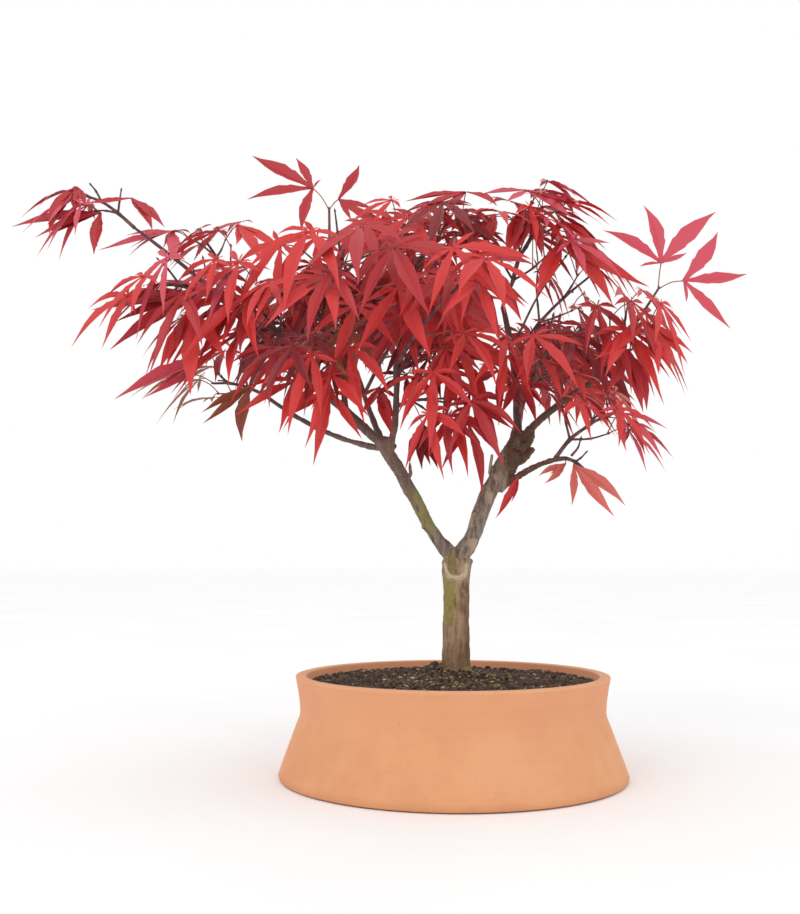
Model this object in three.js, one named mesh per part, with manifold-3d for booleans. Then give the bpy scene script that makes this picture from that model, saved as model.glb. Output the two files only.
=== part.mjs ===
// A red-leaved maple trained as a bonsai, in a round waisted terracotta pot.
//
// Millimetres, +Z up. The origin is the middle of the pot's flat underside. -Y is the front,
// the side that the tree is shown from, so the fork of the trunk spreads along X.
//
// The pot and the soil are turned forms. The trunk ends in a fork of two short stumps, and each
// limb is one tapering tube that starts on the limb that carries it. Each mass of leaves is a stem
// with side shoots that a seeded rule sets out, with star-shaped leaves on stalks at their ends.

import * as THREE from 'three';
import { mergeVertices } from 'three/addons/utils/BufferGeometryUtils.js';
import Module from 'manifold-3d';

const wasm = await Module();
wasm.setup();

const UP = vector(0, 0, 1);

// ---- Driving dimensions ----

const GAP = 0.3; // clear space where two pieces meet

const POT_FOOT_RADIUS = 140;
const POT_WAIST_RADIUS = 123;
const POT_RIM_RADIUS = 127;
const POT_HEIGHT = 80;
const POT_WAIST_HEIGHT = 49;
const POT_WALL = 9;
const POT_FLOOR = 10;
const POT_FLOOR_RADIUS = 126; // inside
const POT_EDGE = 1.2; // bevel of the foot and the rim
const POT_FACETS = 36;

const SOIL_EDGE_HEIGHT = 73; // at the wall of the pot
const SOIL_TOP_HEIGHT = 77; // round the foot of the trunk
const SOIL_TOP_RADIUS = 34; // of the flat middle that the trunk stands on

const TRUNK_FOOT = vector(3, 0, SOIL_TOP_HEIGHT + GAP);
const TRUNK_TOP = vector(4, 0, 173);
const TRUNK_SIDES = 12;
// Radius of the trunk at heights above its foot, from the root flare to the swelling at the fork.
const TRUNK_TAPER = [[0, 17], [3.5, 14], [9, 12.2], [20, 11.2], [45, 10.4], [72, 10.2], [88, 11], [96, 9]];
const STUMP_START = 3; // below the top of the trunk
const STUMP_LENGTH = 17;
const STUMPS = [
  { name: 'fork_left', lean: vector(-58, -8, 94), radii: [8, 6.4] },
  { name: 'fork_right', lean: vector(53, 10, 104), radii: [8.6, 7.5] },
];

const THICK_LIMB_RADIUS = 4; // at the start of a limb, from which it counts as thick
const THICK_LIMB_SIDES = 8;
const THICK_LIMB_STEPS = 6;
const THIN_LIMB_SIDES = 6;
const THIN_LIMB_STEPS = 4;

// Limbs in the order that they grow: the limb that carries each one, the share of that limb's
// length where it starts, its tip, how far its middle bows, and its radius at its two ends.
const LIMBS = [
  limb('left_bough', 'fork_left', 1, [-57, -8, 267], [-1, 0, 2], [6.3, 5.0]),
  limb('right_bough', 'fork_right', 1, [60, 10, 280], [-1, 1, 1], [7.4, 6.2]),
  limb('left_leader', 'left_bough', 1, [-189, -24, 386], [2, -1, -2], [4.2, 2.2]),
  limb('left_tip_limb', 'left_leader', 1, [-264, -16, 448], [-2, 0, 3], [2.0, 1.3]),
  limb('left_low_limb', 'left_bough', 0.95, [-160, 36, 315], [0, 2, -8], [2.7, 1.7]),
  limb('left_inner_limb', 'left_bough', 0.9, [-46, -46, 326], [3, 2, -4], [3.2, 2.2]),
  limb('left_upright', 'left_leader', 0.24, [-102, 6, 405], [1, -5, 0], [2.7, 1.5]),
  limb('middle_upright', 'left_inner_limb', 0.7, [-42, -8, 395], [1, -8, 0], [2.2, 1.5]),
  limb('right_upright', 'right_bough', 0.93, [46, 20, 390], [4, 0, 0], [4.0, 2.3]),
  limb('right_side', 'right_bough', 0.86, [123, -20, 322], [-1, -2, 4], [3.5, 2.2]),
  limb('right_low', 'right_bough', 0.62, [91, -26, 254], [0, 0, 3], [3.0, 1.9]),
  limb('rear_left_limb', 'left_bough', 0.8, [-82, 90, 345], [0, 4, -8], [3.4, 2.0]),
  limb('rear_right_limb', 'right_bough', 0.78, [70, 90, 330], [0, 4, -8], [3.6, 2.0]),
];

// Masses of leaves: the limb that carries the stem and where along it, the stem's end, and the
// middle and the reach of the space that the mass keeps to. Its habit is the number of pairs of
// shoots, the length of a shoot and of a leaf's middle lobe, how far leaves hang, the tilt of their
// faces in degrees, the side that they turn to, how often a shoot has a leaf at its middle, the
// turn of the first pair in degrees, and the seed of the rule.
const MASSES = [
  mass('far_left_leaves', 'left_tip_limb', 1, [-306, -14, 476], [-302, -10, 455], [70, 45, 28], {
    pairs: 2, shoot: 20, leaf: 44, hang: 1.2, tilt: 50, face: [-0.4, -0.9], middle: 0.8, roll: 0, seed: 21 }),
  mass('upper_left_leaves', 'left_leader', 0.86, [-210, 15, 446], [-205, 10, 438], [88, 50, 36], {
    pairs: 2, shoot: 30, leaf: 48, hang: 0.5, tilt: 25, face: [-0.4, -0.8], middle: 0.5, roll: 0, seed: 63 }),
  mass('left_leaves', 'left_leader', 0.95, [-232, -50, 392], [-216, -38, 355], [82, 62, 60], {
    pairs: 3, shoot: 32, leaf: 58, hang: 0.6, tilt: 50, face: [-0.3, -1], middle: 0.9, roll: 0, seed: 112 }),
  mass('shoulder_leaves', 'left_leader', 0.5, [-175, -60, 388], [-166, -50, 365], [54, 52, 56], {
    pairs: 2, shoot: 26, leaf: 54, hang: 0.8, tilt: 50, face: [-0.3, -1], middle: 0.9, roll: 0, seed: 108 }),
  mass('low_left_leaves', 'left_low_limb', 1, [-205, 40, 326], [-200, 25, 318], [78, 50, 38], {
    pairs: 2, shoot: 26, leaf: 46, hang: 0.6, tilt: 35, face: [-0.4, -0.7], middle: 0.6, roll: 0, seed: 98 }),
  mass('inner_left_leaves', 'left_leader', 0.3, [-112, -70, 322], [-115, -50, 306], [58, 55, 48], {
    pairs: 2, shoot: 28, leaf: 52, hang: 0.9, tilt: 60, face: [-0.2, -1], middle: 0.8, roll: 0, seed: 73 }),
  mass('front_left_leaves', 'left_upright', 0.7, [-85, -95, 405], [-78, -80, 385], [88, 70, 56], {
    pairs: 3, shoot: 42, leaf: 59, hang: 0.9, tilt: 60, face: [-0.1, -1], middle: 0.9, roll: 0, seed: 85 }),
  mass('top_left_sprig', 'left_upright', 1, [-103, 4, 470], [-118, 4, 484], [66, 40, 44], {
    pairs: 0, shoot: 14, leaf: 54, hang: 0, tilt: 84, face: [0, -1], middle: 0, roll: -90, seed: 9 }),
  mass('crown_left_leaves', 'middle_upright', 1, [-15, 10, 440], [-25, 5, 435], [76, 60, 50], {
    pairs: 3, shoot: 38, leaf: 52, hang: 0.5, tilt: 45, face: [0.1, -1], middle: 0.8, roll: 0, seed: 66 }),
  mass('crown_right_leaves', 'right_upright', 1, [78, 10, 462], [80, 5, 446], [76, 58, 48], {
    pairs: 3, shoot: 38, leaf: 54, hang: 0.35, tilt: 28, face: [0.4, -0.8], middle: 0.8, roll: 0, seed: 36 }),
  mass('right_hanging_leaves', 'right_upright', 0.6, [120, 20, 415], [128, 12, 410], [46, 45, 42], {
    pairs: 2, shoot: 28, leaf: 42, hang: 0.8, tilt: 50, face: [0.6, -0.6], middle: 0.5, roll: 0, seed: 71 }),
  mass('right_sprig', 'right_side', 1, [168, -30, 392], [186, -30, 414], [64, 40, 56], {
    pairs: 0, shoot: 14, leaf: 58, hang: 0, tilt: 80, face: [0, -1], middle: 0, roll: 0, seed: 69 }),
  mass('right_leaves', 'right_side', 0.85, [145, -45, 362], [142, -35, 338], [62, 60, 48], {
    pairs: 3, shoot: 32, leaf: 52, hang: 0.8, tilt: 55, face: [0.4, -0.9], middle: 0.8, roll: 0, seed: 18 }),
  mass('middle_right_leaves', 'right_upright', 0.15, [75, -45, 338], [66, -35, 330], [60, 50, 38], {
    pairs: 2, shoot: 30, leaf: 48, hang: 0.6, tilt: 45, face: [0.2, -1], middle: 0.7, roll: 0, seed: 20 }),
  mass('lower_right_leaves', 'right_low', 0.85, [118, -50, 285], [118, -45, 280], [54, 50, 36], {
    pairs: 2, shoot: 28, leaf: 42, hang: 0.7, tilt: 50, face: [0.4, -0.9], middle: 0.5, roll: 0, seed: 65 }),
  mass('low_right_sprig', 'right_low', 1, [106, -24, 246], [95, -22, 232], [54, 40, 30], {
    pairs: 1, shoot: 14, leaf: 38, hang: 0.8, tilt: 60, face: [0.3, -1], middle: 0.5, roll: 0, seed: 116 }),
  mass('low_middle_leaves', 'left_inner_limb', 0.6, [-8, -50, 296], [-4, -40, 274], [48, 42, 42], {
    pairs: 2, shoot: 28, leaf: 44, hang: 1.2, tilt: 65, face: [0, -1], middle: 0.5, roll: 0, seed: 115 }),
  mass('middle_leaves', 'left_inner_limb', 0.9, [-12, -30, 352], [-12, -15, 345], [58, 50, 60], {
    pairs: 3, shoot: 30, leaf: 46, hang: 0.6, tilt: 60, face: [0, -1], middle: 0.6, roll: 0, seed: 50 }),
  mass('front_leaves', 'left_inner_limb', 1, [5, -120, 375], [5, -115, 365], [58, 50, 48], {
    pairs: 2, shoot: 30, leaf: 49, hang: 0.9, tilt: 60, face: [0.1, -1], middle: 0.6, roll: 0, seed: 38 }),
  mass('rear_left_leaves', 'rear_left_limb', 1, [-125, 125, 405], [-118, 112, 395], [90, 72, 66], {
    pairs: 3, shoot: 44, leaf: 54, hang: 0.8, tilt: 50, face: [-0.5, 0.9], middle: 0.6, roll: 0, seed: 52 }),
  mass('rear_leaves', 'rear_left_limb', 0.8, [-10, 120, 430], [-8, 108, 425], [85, 68, 60], {
    pairs: 3, shoot: 44, leaf: 54, hang: 0.8, tilt: 50, face: [0.1, 1], middle: 0.6, roll: 0, seed: 1 }),
  mass('rear_right_leaves', 'rear_right_limb', 1, [122, 128, 352], [112, 112, 352], [78, 70, 44], {
    pairs: 3, shoot: 42, leaf: 52, hang: 0.8, tilt: 50, face: [0.6, 0.9], middle: 0.6, roll: 0, seed: 54 }),
];

const STEM_RADII = [2.1, 1.5];
const STEM_ARCH = 0.32; // how far a stem arches, as a share of its length
const STEM_STRAY = 0.06; // of a stem's node, as a share of the length between nodes
const SHOOT_RADII = [1.5, 1.3];
const SHOOT_ANGLE = 48; // degrees from the stem
const SHOOT_RISE = 0.15;
const SHOOT_BEND = 0.08; // of a shoot's middle, as a share of its length
const MIDDLE_NODE = 0.55; // where a shoot's middle leaf stands, as a share of its length
const END_LEAF_CHANCE = 0.35; // of a third leaf at a shoot's end
const END_LEAF_LEAN = 0.6; // of that leaf, ahead of the twig
const STALK_RADIUS = 0.5; // at its foot
const LEAF_THICKNESS = 1.6; // where the lobes join
const LEAF_SAG = 0.18; // droop of a lobe's tip, as a share of its length
const SPACE_SLACK = 12; // how far a leaf may pass its mass's reach
const LIMB_MARGIN = 1.2; // clear space round a limb that leaves and shoots keep
const LEAF_MARGIN = 3; // between the middle lines of two leaves' lobes
const LEAF_TRIES = 6;
const TRUNK_LENGTH_RADIUS = 11; // of the trunk, where leaves are tested against it
const MOST_LEAF_FACES = 100; // that a leaf adds to its mass; one that adds more is tangled
const TWIG_SIDES = 3;
const TWIG_END = 1; // past the last node of a twig

// The lobes of a leaf: degrees from the middle lobe, and length as a share of it.
const LOBES = [[-100, 0.46], [-50, 0.86], [0, 1.0], [50, 0.86], [100, 0.46]];
const NOTCH_SHARE = 0.24; // how far out two lobes are joined
const BACK_SHARE = 0.1; // from the stalk to the back edge of the leaf
const LEAF_CENTRE_SHARE = 0.04; // the thickest point, ahead of the stalk

const RED_LEAF = { color: 0xb3202c, roughness: 0.5, metalness: 0 };
const BARK = { color: 0x75604a, roughness: 0.9, metalness: 0 };
const TERRACOTTA = { color: 0xe0a277, roughness: 0.85, metalness: 0 };
const POTTING_SOIL = { color: 0x2e241d, roughness: 1, metalness: 0 };

// ---- Vectors and random numbers ----

function vector(x, y, z) {
  return new THREE.Vector3(x, y, z);
}

function times(direction, length) {
  return direction.clone().multiplyScalar(length);
}

function sum(first, ...others) {
  return others.reduce((total, other) => total.add(other), first.clone());
}

function between(start, end) {
  return end.clone().sub(start);
}

function turned(direction, axis, degrees) {
  return direction.clone().applyAxisAngle(axis, THREE.MathUtils.degToRad(degrees));
}

// A direction square to the given one, level wherever that is possible.
function levelSide(direction) {
  if (Math.abs(direction.z) > 0.95) return vector(1, 0, 0);
  return direction.clone().cross(UP).normalize();
}

// Repeatable random numbers from 0 to 1: the same seed always grows the same mass.
function seededRandom(seed) {
  let state = seed | 0;
  return () => {
    state = (state + 0x6d2b79f5) | 0;
    let mixed = Math.imul(state ^ (state >>> 15), 1 | state);
    mixed = (mixed + Math.imul(mixed ^ (mixed >>> 7), 61 | mixed)) ^ mixed;
    return ((mixed ^ (mixed >>> 14)) >>> 0) / 4294967296;
  };
}

function spread(random, width) {
  return (random() * 2 - 1) * width;
}

// ---- Limbs ----

function limb(name, from, along, tip, bow, radii) {
  return { name, from, along, tip: vector(...tip), bow: vector(...bow), radii };
}

// A point on a limb's middle line, which bows like a shallow arch between its ends.
function pointAlong(line, share) {
  const straight = sum(line.start, times(between(line.start, line.tip), share));
  return straight.add(times(line.bow, 4 * share * (1 - share)));
}

function radiusAlong(line, share) {
  return line.radii[0] + (line.radii[1] - line.radii[0]) * share;
}

// The middle lines of the fork's two stumps, and of every limb from the one that carries it.
function layOutLimbs() {
  const lines = new Map();
  for (const stump of STUMPS) {
    lines.set(stump.name, {
      start: sum(TRUNK_TOP, times(UP, -STUMP_START)),
      tip: sum(TRUNK_TOP, times(stump.lean.clone().normalize(), STUMP_LENGTH)),
      bow: vector(0, 0, 0),
      radii: stump.radii,
    });
  }
  for (const each of LIMBS) {
    lines.set(each.name, { ...each, start: pointAlong(lines.get(each.from), each.along) });
  }
  return lines;
}

// The rings of a limb's tube. A thin limb has fewer of them, with fewer sides.
function limbRings(line) {
  const isThick = line.radii[0] > THICK_LIMB_RADIUS;
  const steps = isThick ? THICK_LIMB_STEPS : THIN_LIMB_STEPS;
  const shares = Array.from({ length: steps + 1 }, (_, step) => step / steps);
  return {
    centres: shares.map((share) => pointAlong(line, share)),
    radii: shares.map((share) => radiusAlong(line, share)),
    sides: isThick ? THICK_LIMB_SIDES : THIN_LIMB_SIDES,
  };
}

// Straight lengths that stand for the limbs where leaves and shoots are tested against them.
function limbLengths(lines) {
  const lengths = [...lines.values()].flatMap((line) => [0, 0.25, 0.5, 0.75].map((share) => ({
    start: pointAlong(line, share),
    end: pointAlong(line, share + 0.25),
    radius: radiusAlong(line, share),
  })));
  lengths.push({ start: TRUNK_FOOT, end: TRUNK_TOP, radius: TRUNK_LENGTH_RADIUS });
  return lengths;
}

// ---- The rule that a mass grows by ----

function mass(name, limbName, along, end, centre, reach, habit) {
  return {
    name, limbName, along, habit,
    end: vector(...end),
    centre: vector(...centre),
    reach: vector(...reach),
    face: vector(habit.face[0], habit.face[1], 0),
  };
}

// Whether a point is in the mass's own space, a box with well rounded corners.
function isInSpace(grown, point) {
  const offset = between(grown.centre, point);
  const shares = [
    offset.x / (grown.reach.x + SPACE_SLACK),
    offset.y / (grown.reach.y + SPACE_SLACK),
    offset.z / (grown.reach.z + SPACE_SLACK),
  ];
  return shares.reduce((total, share) => total + share ** 4, 0) <= 1;
}

function clampShare(value) {
  return Math.min(Math.max(value, 0), 1);
}

// The least distance between two straight lengths.
function distanceBetween(startA, endA, startB, endB) {
  const runA = between(startA, endA);
  const runB = between(startB, endB);
  const gap = between(startB, startA);
  const squareA = runA.dot(runA);
  const squareB = runB.dot(runB);
  const gapB = runB.dot(gap);
  const gapA = runA.dot(gap);
  const cross = runA.dot(runB);
  const spanned = squareA * squareB - cross * cross;
  let shareA = spanned > 1e-9 ? clampShare((cross * gapB - gapA * squareB) / spanned) : 0;
  let shareB = (cross * shareA + gapB) / squareB;
  if (shareB < 0) shareA = clampShare(-gapA / squareA);
  if (shareB > 1) shareA = clampShare((cross - gapA) / squareA);
  shareB = clampShare(shareB);
  return sum(gap, times(runA, shareA), times(runB, -shareB)).length();
}

function isClearOfLimbs(start, end) {
  return limbObstacles.every((length) => (
    distanceBetween(start, end, length.start, length.end) > length.radius + LIMB_MARGIN));
}

// A point on the middle line of a lobe, which sags more the further out it is.
function lobePoint(leaf, degrees, lengthShare) {
  const reach = leaf.size * lengthShare;
  const side = leaf.normal.clone().cross(leaf.axis);
  const angle = THREE.MathUtils.degToRad(degrees);
  const direction = sum(times(leaf.axis, Math.cos(angle)), times(side, Math.sin(angle)));
  return sum(leaf.hinge, times(direction, reach), times(UP, -leaf.sag * reach * reach / leaf.size));
}

function isClearOfLeaf(start, end, leaf) {
  return leaf.tips.every((tip) => distanceBetween(start, end, leaf.hinge, tip) > LEAF_MARGIN);
}

function leafFits(grown, leaf, others) {
  return isInSpace(grown, leaf.hinge)
    && leaf.tips.every((tip) => isInSpace(grown, tip))
    && leaf.tips.every((tip) => isClearOfLimbs(leaf.hinge, tip))
    && leaf.tips.every((tip) => others.every((other) => isClearOfLeaf(leaf.hinge, tip, other)));
}

// One leaf on a stalk from the node, that turns out from the tree and hangs from its hinge.
function setLeaf(random, node, heading, side, { habit, face }) {
  const size = habit.leaf * (1 + spread(random, 0.18));
  const stalk = size * (0.33 + 0.25 * random());
  const stray = vector(spread(random, 0.3), spread(random, 0.3), spread(random, 0.2));
  const outward = sum(times(heading, 0.8), side, times(UP, 0.35), stray).normalize();
  const hinge = sum(node, times(outward, stalk));
  const fromTrunk = Math.max(Math.hypot(hinge.x, hinge.y), 60);
  const radial = vector(hinge.x / fromTrunk, hinge.y / fromTrunk, 0);
  const turn = vector(spread(random, 0.5), spread(random, 0.5), 0);
  const facing = sum(face, times(radial, 0.5), turn).normalize();
  const tilt = THREE.MathUtils.degToRad(habit.tilt + spread(random, 20));
  const roll = vector(spread(random, 0.2), spread(random, 0.2), spread(random, 0.1));
  const normal = sum(times(UP, Math.cos(tilt)), times(facing, Math.sin(tilt)), roll).normalize();
  const pull = sum(times(radial, 0.8), times(outward, 0.7), times(UP, -habit.hang));
  const axis = sum(pull, times(normal, -pull.dot(normal))).normalize();
  const sag = LEAF_SAG * (1 + spread(random, 0.4));
  random(); // the draw for the leaf's tint, which plain solids don't show
  const leaf = { node, hinge, axis, normal, size, sag };
  const tips = LOBES.map(([degrees, share]) => lobePoint(leaf, degrees, share));
  return { ...leaf, tips };
}

// The stem, its pairs of shoots and their leaves. Pairs stand square to the pair before them.
function growMass(grown) {
  const { habit } = grown;
  const random = seededRandom(habit.seed);
  const start = pointAlong(limbLines.get(grown.limbName), grown.along);
  const run = between(start, grown.end);
  const length = run.length();
  const steps = habit.pairs + 1;
  const stem = Array.from({ length: steps + 1 }, (_, step) => {
    const share = step / steps;
    return sum(start, times(run, share), times(UP, STEM_ARCH * length * share * (1 - share)));
  });
  for (const node of stem.slice(1, -1)) {
    const stray = vector(
      spread(random, STEM_STRAY), spread(random, STEM_STRAY), spread(random, STEM_STRAY / 1.5));
    node.add(times(stray, length / steps));
  }
  const twigs = [{ points: stem, radii: STEM_RADII }];
  const leaves = [];
  const addLeaf = (node, heading, side) => {
    for (let attempt = 0; attempt < LEAF_TRIES; attempt++) {
      const leaf = setLeaf(random, node, heading, side, grown);
      if (leafFits(grown, leaf, leaves)) {
        leaves.push({ ...leaf, twig: twigs.length - 1 });
        return;
      }
    }
  };
  const level = levelSide(run.normalize());
  const roll = habit.roll + spread(random, 20);
  for (let step = 1; step <= steps; step++) {
    const node = stem[step];
    const heading = between(stem[step - 1], node).normalize();
    const square = sum(level, times(heading, -level.dot(heading))).normalize();
    const side = turned(square, heading, roll + 90 * step);
    if (step === steps) {
      addLeaf(node, heading, side);
      addLeaf(node, heading, times(side, -1));
      if (habit.pairs > 0) addLeaf(node, heading, times(heading, END_LEAF_LEAN));
      break;
    }
    for (const hand of [1, -1]) {
      const reach = habit.shoot * (1.1 - 0.5 * step / steps) * (1 + spread(random, 0.25));
      const angle = THREE.MathUtils.degToRad(SHOOT_ANGLE + spread(random, 14));
      const outward = sum(times(heading, Math.cos(angle)), times(side, hand * Math.sin(angle)));
      const direction = sum(outward, times(UP, SHOOT_RISE)).normalize();
      const tip = sum(node, times(direction, reach));
      const bend = spread(random, SHOOT_BEND) * reach;
      const middle = sum(node, times(direction, reach * MIDDLE_NODE), times(UP, bend));
      const across = levelSide(direction);
      const pair = turned(across, direction, spread(random, 40));
      const hasMiddleLeaf = random() < habit.middle;
      const middleSide = turned(across, direction, 90 + spread(random, 40));
      if (random() >= 0.5) middleSide.negate();
      const hasEndLeaf = random() < END_LEAF_CHANCE;
      if (!isInSpace(grown, tip) || !isClearOfLimbs(middle, tip)) continue;
      twigs.push({ points: hasMiddleLeaf ? [node, middle, tip] : [node, tip], radii: SHOOT_RADII });
      addLeaf(tip, direction, pair);
      addLeaf(tip, direction, times(pair, -1));
      if (hasMiddleLeaf) addLeaf(middle, direction, middleSide);
      if (hasEndLeaf) addLeaf(tip, direction, times(direction, END_LEAF_LEAN));
    }
  }
  return { name: grown.name, twigs, leaves };
}

// ---- Solids ----

function solidOfFaces(points, faces) {
  return new wasm.Manifold(new wasm.Mesh({
    numProp: 3,
    vertProperties: new Float32Array(points.flatMap((point) => point.toArray())),
    triVerts: new Uint32Array(faces.flat()),
  }));
}

// A closed tube of flat facets through rings of the given radii.
function tube({ centres, radii, sides }) {
  const points = [];
  const faces = [];
  const last = centres.length - 1;
  let across = levelSide(between(centres[0], centres[1]).normalize());
  for (let ring = 0; ring <= last; ring++) {
    const before = centres[Math.max(ring - 1, 0)];
    const after = centres[Math.min(ring + 1, last)];
    const heading = between(before, after).normalize();
    across = sum(across, times(heading, -across.dot(heading))).normalize();
    for (let side = 0; side < sides; side++) {
      const spoke = turned(across, heading, 360 * side / sides);
      points.push(sum(centres[ring], times(spoke, radii[ring])));
    }
  }
  for (let ring = 0; ring < last; ring++) {
    for (let side = 0; side < sides; side++) {
      const here = ring * sides + side;
      const next = ring * sides + (side + 1) % sides;
      faces.push([here, next, next + sides], [here, next + sides, here + sides]);
    }
  }
  for (let side = 1; side < sides - 1; side++) {
    faces.push([0, side + 1, side]);
    faces.push([last * sides, last * sides + side, last * sides + side + 1]);
  }
  return solidOfFaces(points, faces);
}

// The same tube with GAP added all round, to cut what comes against it.
function clearanceOf({ centres, radii, sides }) {
  const last = centres.length - 1;
  const grown = centres.map((centre) => centre.clone());
  grown[0].add(between(centres[1], centres[0]).setLength(GAP));
  grown[last].add(between(centres[last - 1], centres[last]).setLength(GAP));
  return tube({ centres: grown, radii: radii.map((radius) => radius + GAP), sides });
}

// A twig runs on a little past its last node, so that the stalks there are sunk in it.
function twigRings({ points, radii }) {
  const last = points.length - 1;
  const end = sum(points[last], between(points[last - 1], points[last]).setLength(TWIG_END));
  return {
    centres: [...points.slice(0, -1), end],
    radii: points.map((_, ring) => radii[0] + (radii[1] - radii[0]) * ring / last),
    sides: TWIG_SIDES,
  };
}

// A leaf: a star with a tip for each lobe, thickest at its middle, whose back edge runs on into a
// three-sided stalk that is sunk in the twig.
function leafSolid(leaf) {
  const outline = [lobePoint(leaf, -160, BACK_SHARE)];
  LOBES.forEach(([degrees, share], index) => {
    outline.push(lobePoint(leaf, degrees, share));
    const next = LOBES[index + 1];
    if (next) outline.push(lobePoint(leaf, (degrees + next[0]) / 2, NOTCH_SHARE));
  });
  outline.push(lobePoint(leaf, 160, BACK_SHARE));
  const centre = lobePoint(leaf, 0, LEAF_CENTRE_SHARE);
  const points = [
    ...outline,
    sum(centre, times(leaf.normal, LEAF_THICKNESS / 2)),
    sum(centre, times(leaf.normal, -LEAF_THICKNESS / 2)),
    ...stalkFoot(leaf),
  ];
  const last = outline.length - 1;
  const above = last + 1;
  const below = last + 2;
  const [right, left, top] = [last + 3, last + 4, last + 5];
  const faces = outline.slice(0, last).flatMap((_, index) => [
    [above, index, index + 1], [below, index + 1, index]]);
  faces.push(
    [above, last, left], [above, left, top], [0, above, top], [0, top, right],
    [below, 0, right], [below, right, left], [last, below, left], [right, top, left]);
  return solidOfFaces(points, faces);
}

// The three corners of a stalk's foot: under the leaf's right edge, its left edge and its top.
function stalkFoot({ node, axis, normal }) {
  const side = normal.clone().cross(axis);
  return [
    sum(node, times(side, -STALK_RADIUS), times(normal, -STALK_RADIUS / 2)),
    sum(node, times(side, STALK_RADIUS), times(normal, -STALK_RADIUS / 2)),
    sum(node, times(normal, STALK_RADIUS)),
  ];
}

function turnedSolid(profile, facets) {
  const lathe = new THREE.LatheGeometry(profile.map(([radius, height]) => (
    new THREE.Vector2(radius, height))), facets);
  lathe.rotateX(Math.PI / 2);
  lathe.deleteAttribute('normal');
  lathe.deleteAttribute('uv');
  const merged = mergeVertices(lathe, 1e-4);
  const index = merged.getIndex().array;
  const faces = [];
  for (let first = 0; first < index.length; first += 3) {
    const [a, b, c] = index.slice(first, first + 3);
    if (a !== b && b !== c && c !== a) faces.push([a, b, c]);
  }
  const position = merged.getAttribute('position');
  const points = Array.from({ length: position.count }, (_, point) => (
    new THREE.Vector3().fromBufferAttribute(position, point)));
  return solidOfFaces(points, faces);
}

function boxesMeet(bodyA, bodyB) {
  const boxA = bodyA.boundingBox();
  const boxB = bodyB.boundingBox();
  return [0, 1, 2].every((axis) => (
    boxA.min[axis] <= boxB.max[axis] && boxB.min[axis] <= boxA.max[axis]));
}

function overlap(bodyA, bodyB) {
  return boxesMeet(bodyA, bodyB) && bodyA.intersect(bodyB).numTri() > 0;
}

function cutClear(body, clearances) {
  return clearances
    .filter((clearance) => boxesMeet(body, clearance))
    .reduce((rest, clearance) => rest.subtract(clearance), body);
}

function joined(bodies) {
  return bodies.reduce((whole, body) => whole.add(body));
}

// Whether a body is a closed surface still once points that all but coincide are one.
function isSound(body) {
  const { vertProperties, triVerts } = body.getMesh();
  const keys = Array.from(triVerts, (point) => (
    Array.from(vertProperties.slice(3 * point, 3 * point + 3), (value) => value.toFixed(3)).join()));
  const uses = new Map();
  for (let first = 0; first < keys.length; first += 3) {
    const corners = keys.slice(first, first + 3);
    if (new Set(corners).size < 3) continue;
    corners.forEach((corner, index) => {
      const edge = [corner, corners[(index + 1) % 3]].sort().join('|');
      uses.set(edge, (uses.get(edge) ?? 0) + 1);
    });
  }
  return [...uses.values()].every((count) => count === 2);
}

// The faces of a body's largest shell: a loose scrap is dropped and a sealed hollow is filled.
function mainShell(body) {
  const { vertProperties, triVerts } = body.getMesh();
  const parent = Array.from({ length: vertProperties.length / 3 }, (_, point) => point);
  const rootOf = (point) => {
    while (parent[point] !== point) point = parent[point];
    return point;
  };
  for (let first = 0; first < triVerts.length; first += 3) {
    const root = rootOf(triVerts[first]);
    parent[rootOf(triVerts[first + 1])] = root;
    parent[rootOf(triVerts[first + 2])] = root;
  }
  const shells = new Map();
  for (let first = 0; first < triVerts.length; first += 3) {
    const root = rootOf(triVerts[first]);
    if (!shells.has(root)) shells.set(root, []);
    shells.get(root).push(...triVerts.slice(first, first + 3));
  }
  const largest = [...shells.values()].reduce((best, shell) => (
    shell.length > best.length ? shell : best));
  const geometry = new THREE.BufferGeometry();
  geometry.setAttribute('position', new THREE.BufferAttribute(vertProperties, 3));
  geometry.setIndex(largest);
  return geometry;
}

// ---- The pieces ----

const plant = new THREE.Group();

function addPiece(name, body, finish) {
  const piece = new THREE.Mesh(mainShell(body), new THREE.MeshStandardMaterial(finish));
  piece.name = name;
  plant.add(piece);
}

// Thrown clay: a flared foot, a waist below the rim, and a floor.
function potSolid() {
  const outside = [
    [0, 0], [POT_FOOT_RADIUS - POT_EDGE, 0], [POT_FOOT_RADIUS, POT_EDGE],
    [POT_WAIST_RADIUS + 3, POT_WAIST_HEIGHT - 8], [POT_WAIST_RADIUS, POT_WAIST_HEIGHT + 2],
    [POT_WAIST_RADIUS + 1, POT_WAIST_HEIGHT + 14], [POT_RIM_RADIUS, POT_HEIGHT - POT_EDGE],
    [POT_RIM_RADIUS - POT_EDGE, POT_HEIGHT],
  ];
  const inside = [
    [POT_RIM_RADIUS - POT_WALL + POT_EDGE, POT_HEIGHT], [POT_RIM_RADIUS - POT_WALL, POT_HEIGHT - POT_EDGE],
    [POT_WAIST_RADIUS - POT_WALL, POT_WAIST_HEIGHT], [POT_FLOOR_RADIUS, POT_FLOOR],
    [0, POT_FLOOR],
  ];
  return turnedSolid([...outside, ...inside], POT_FACETS);
}

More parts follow.
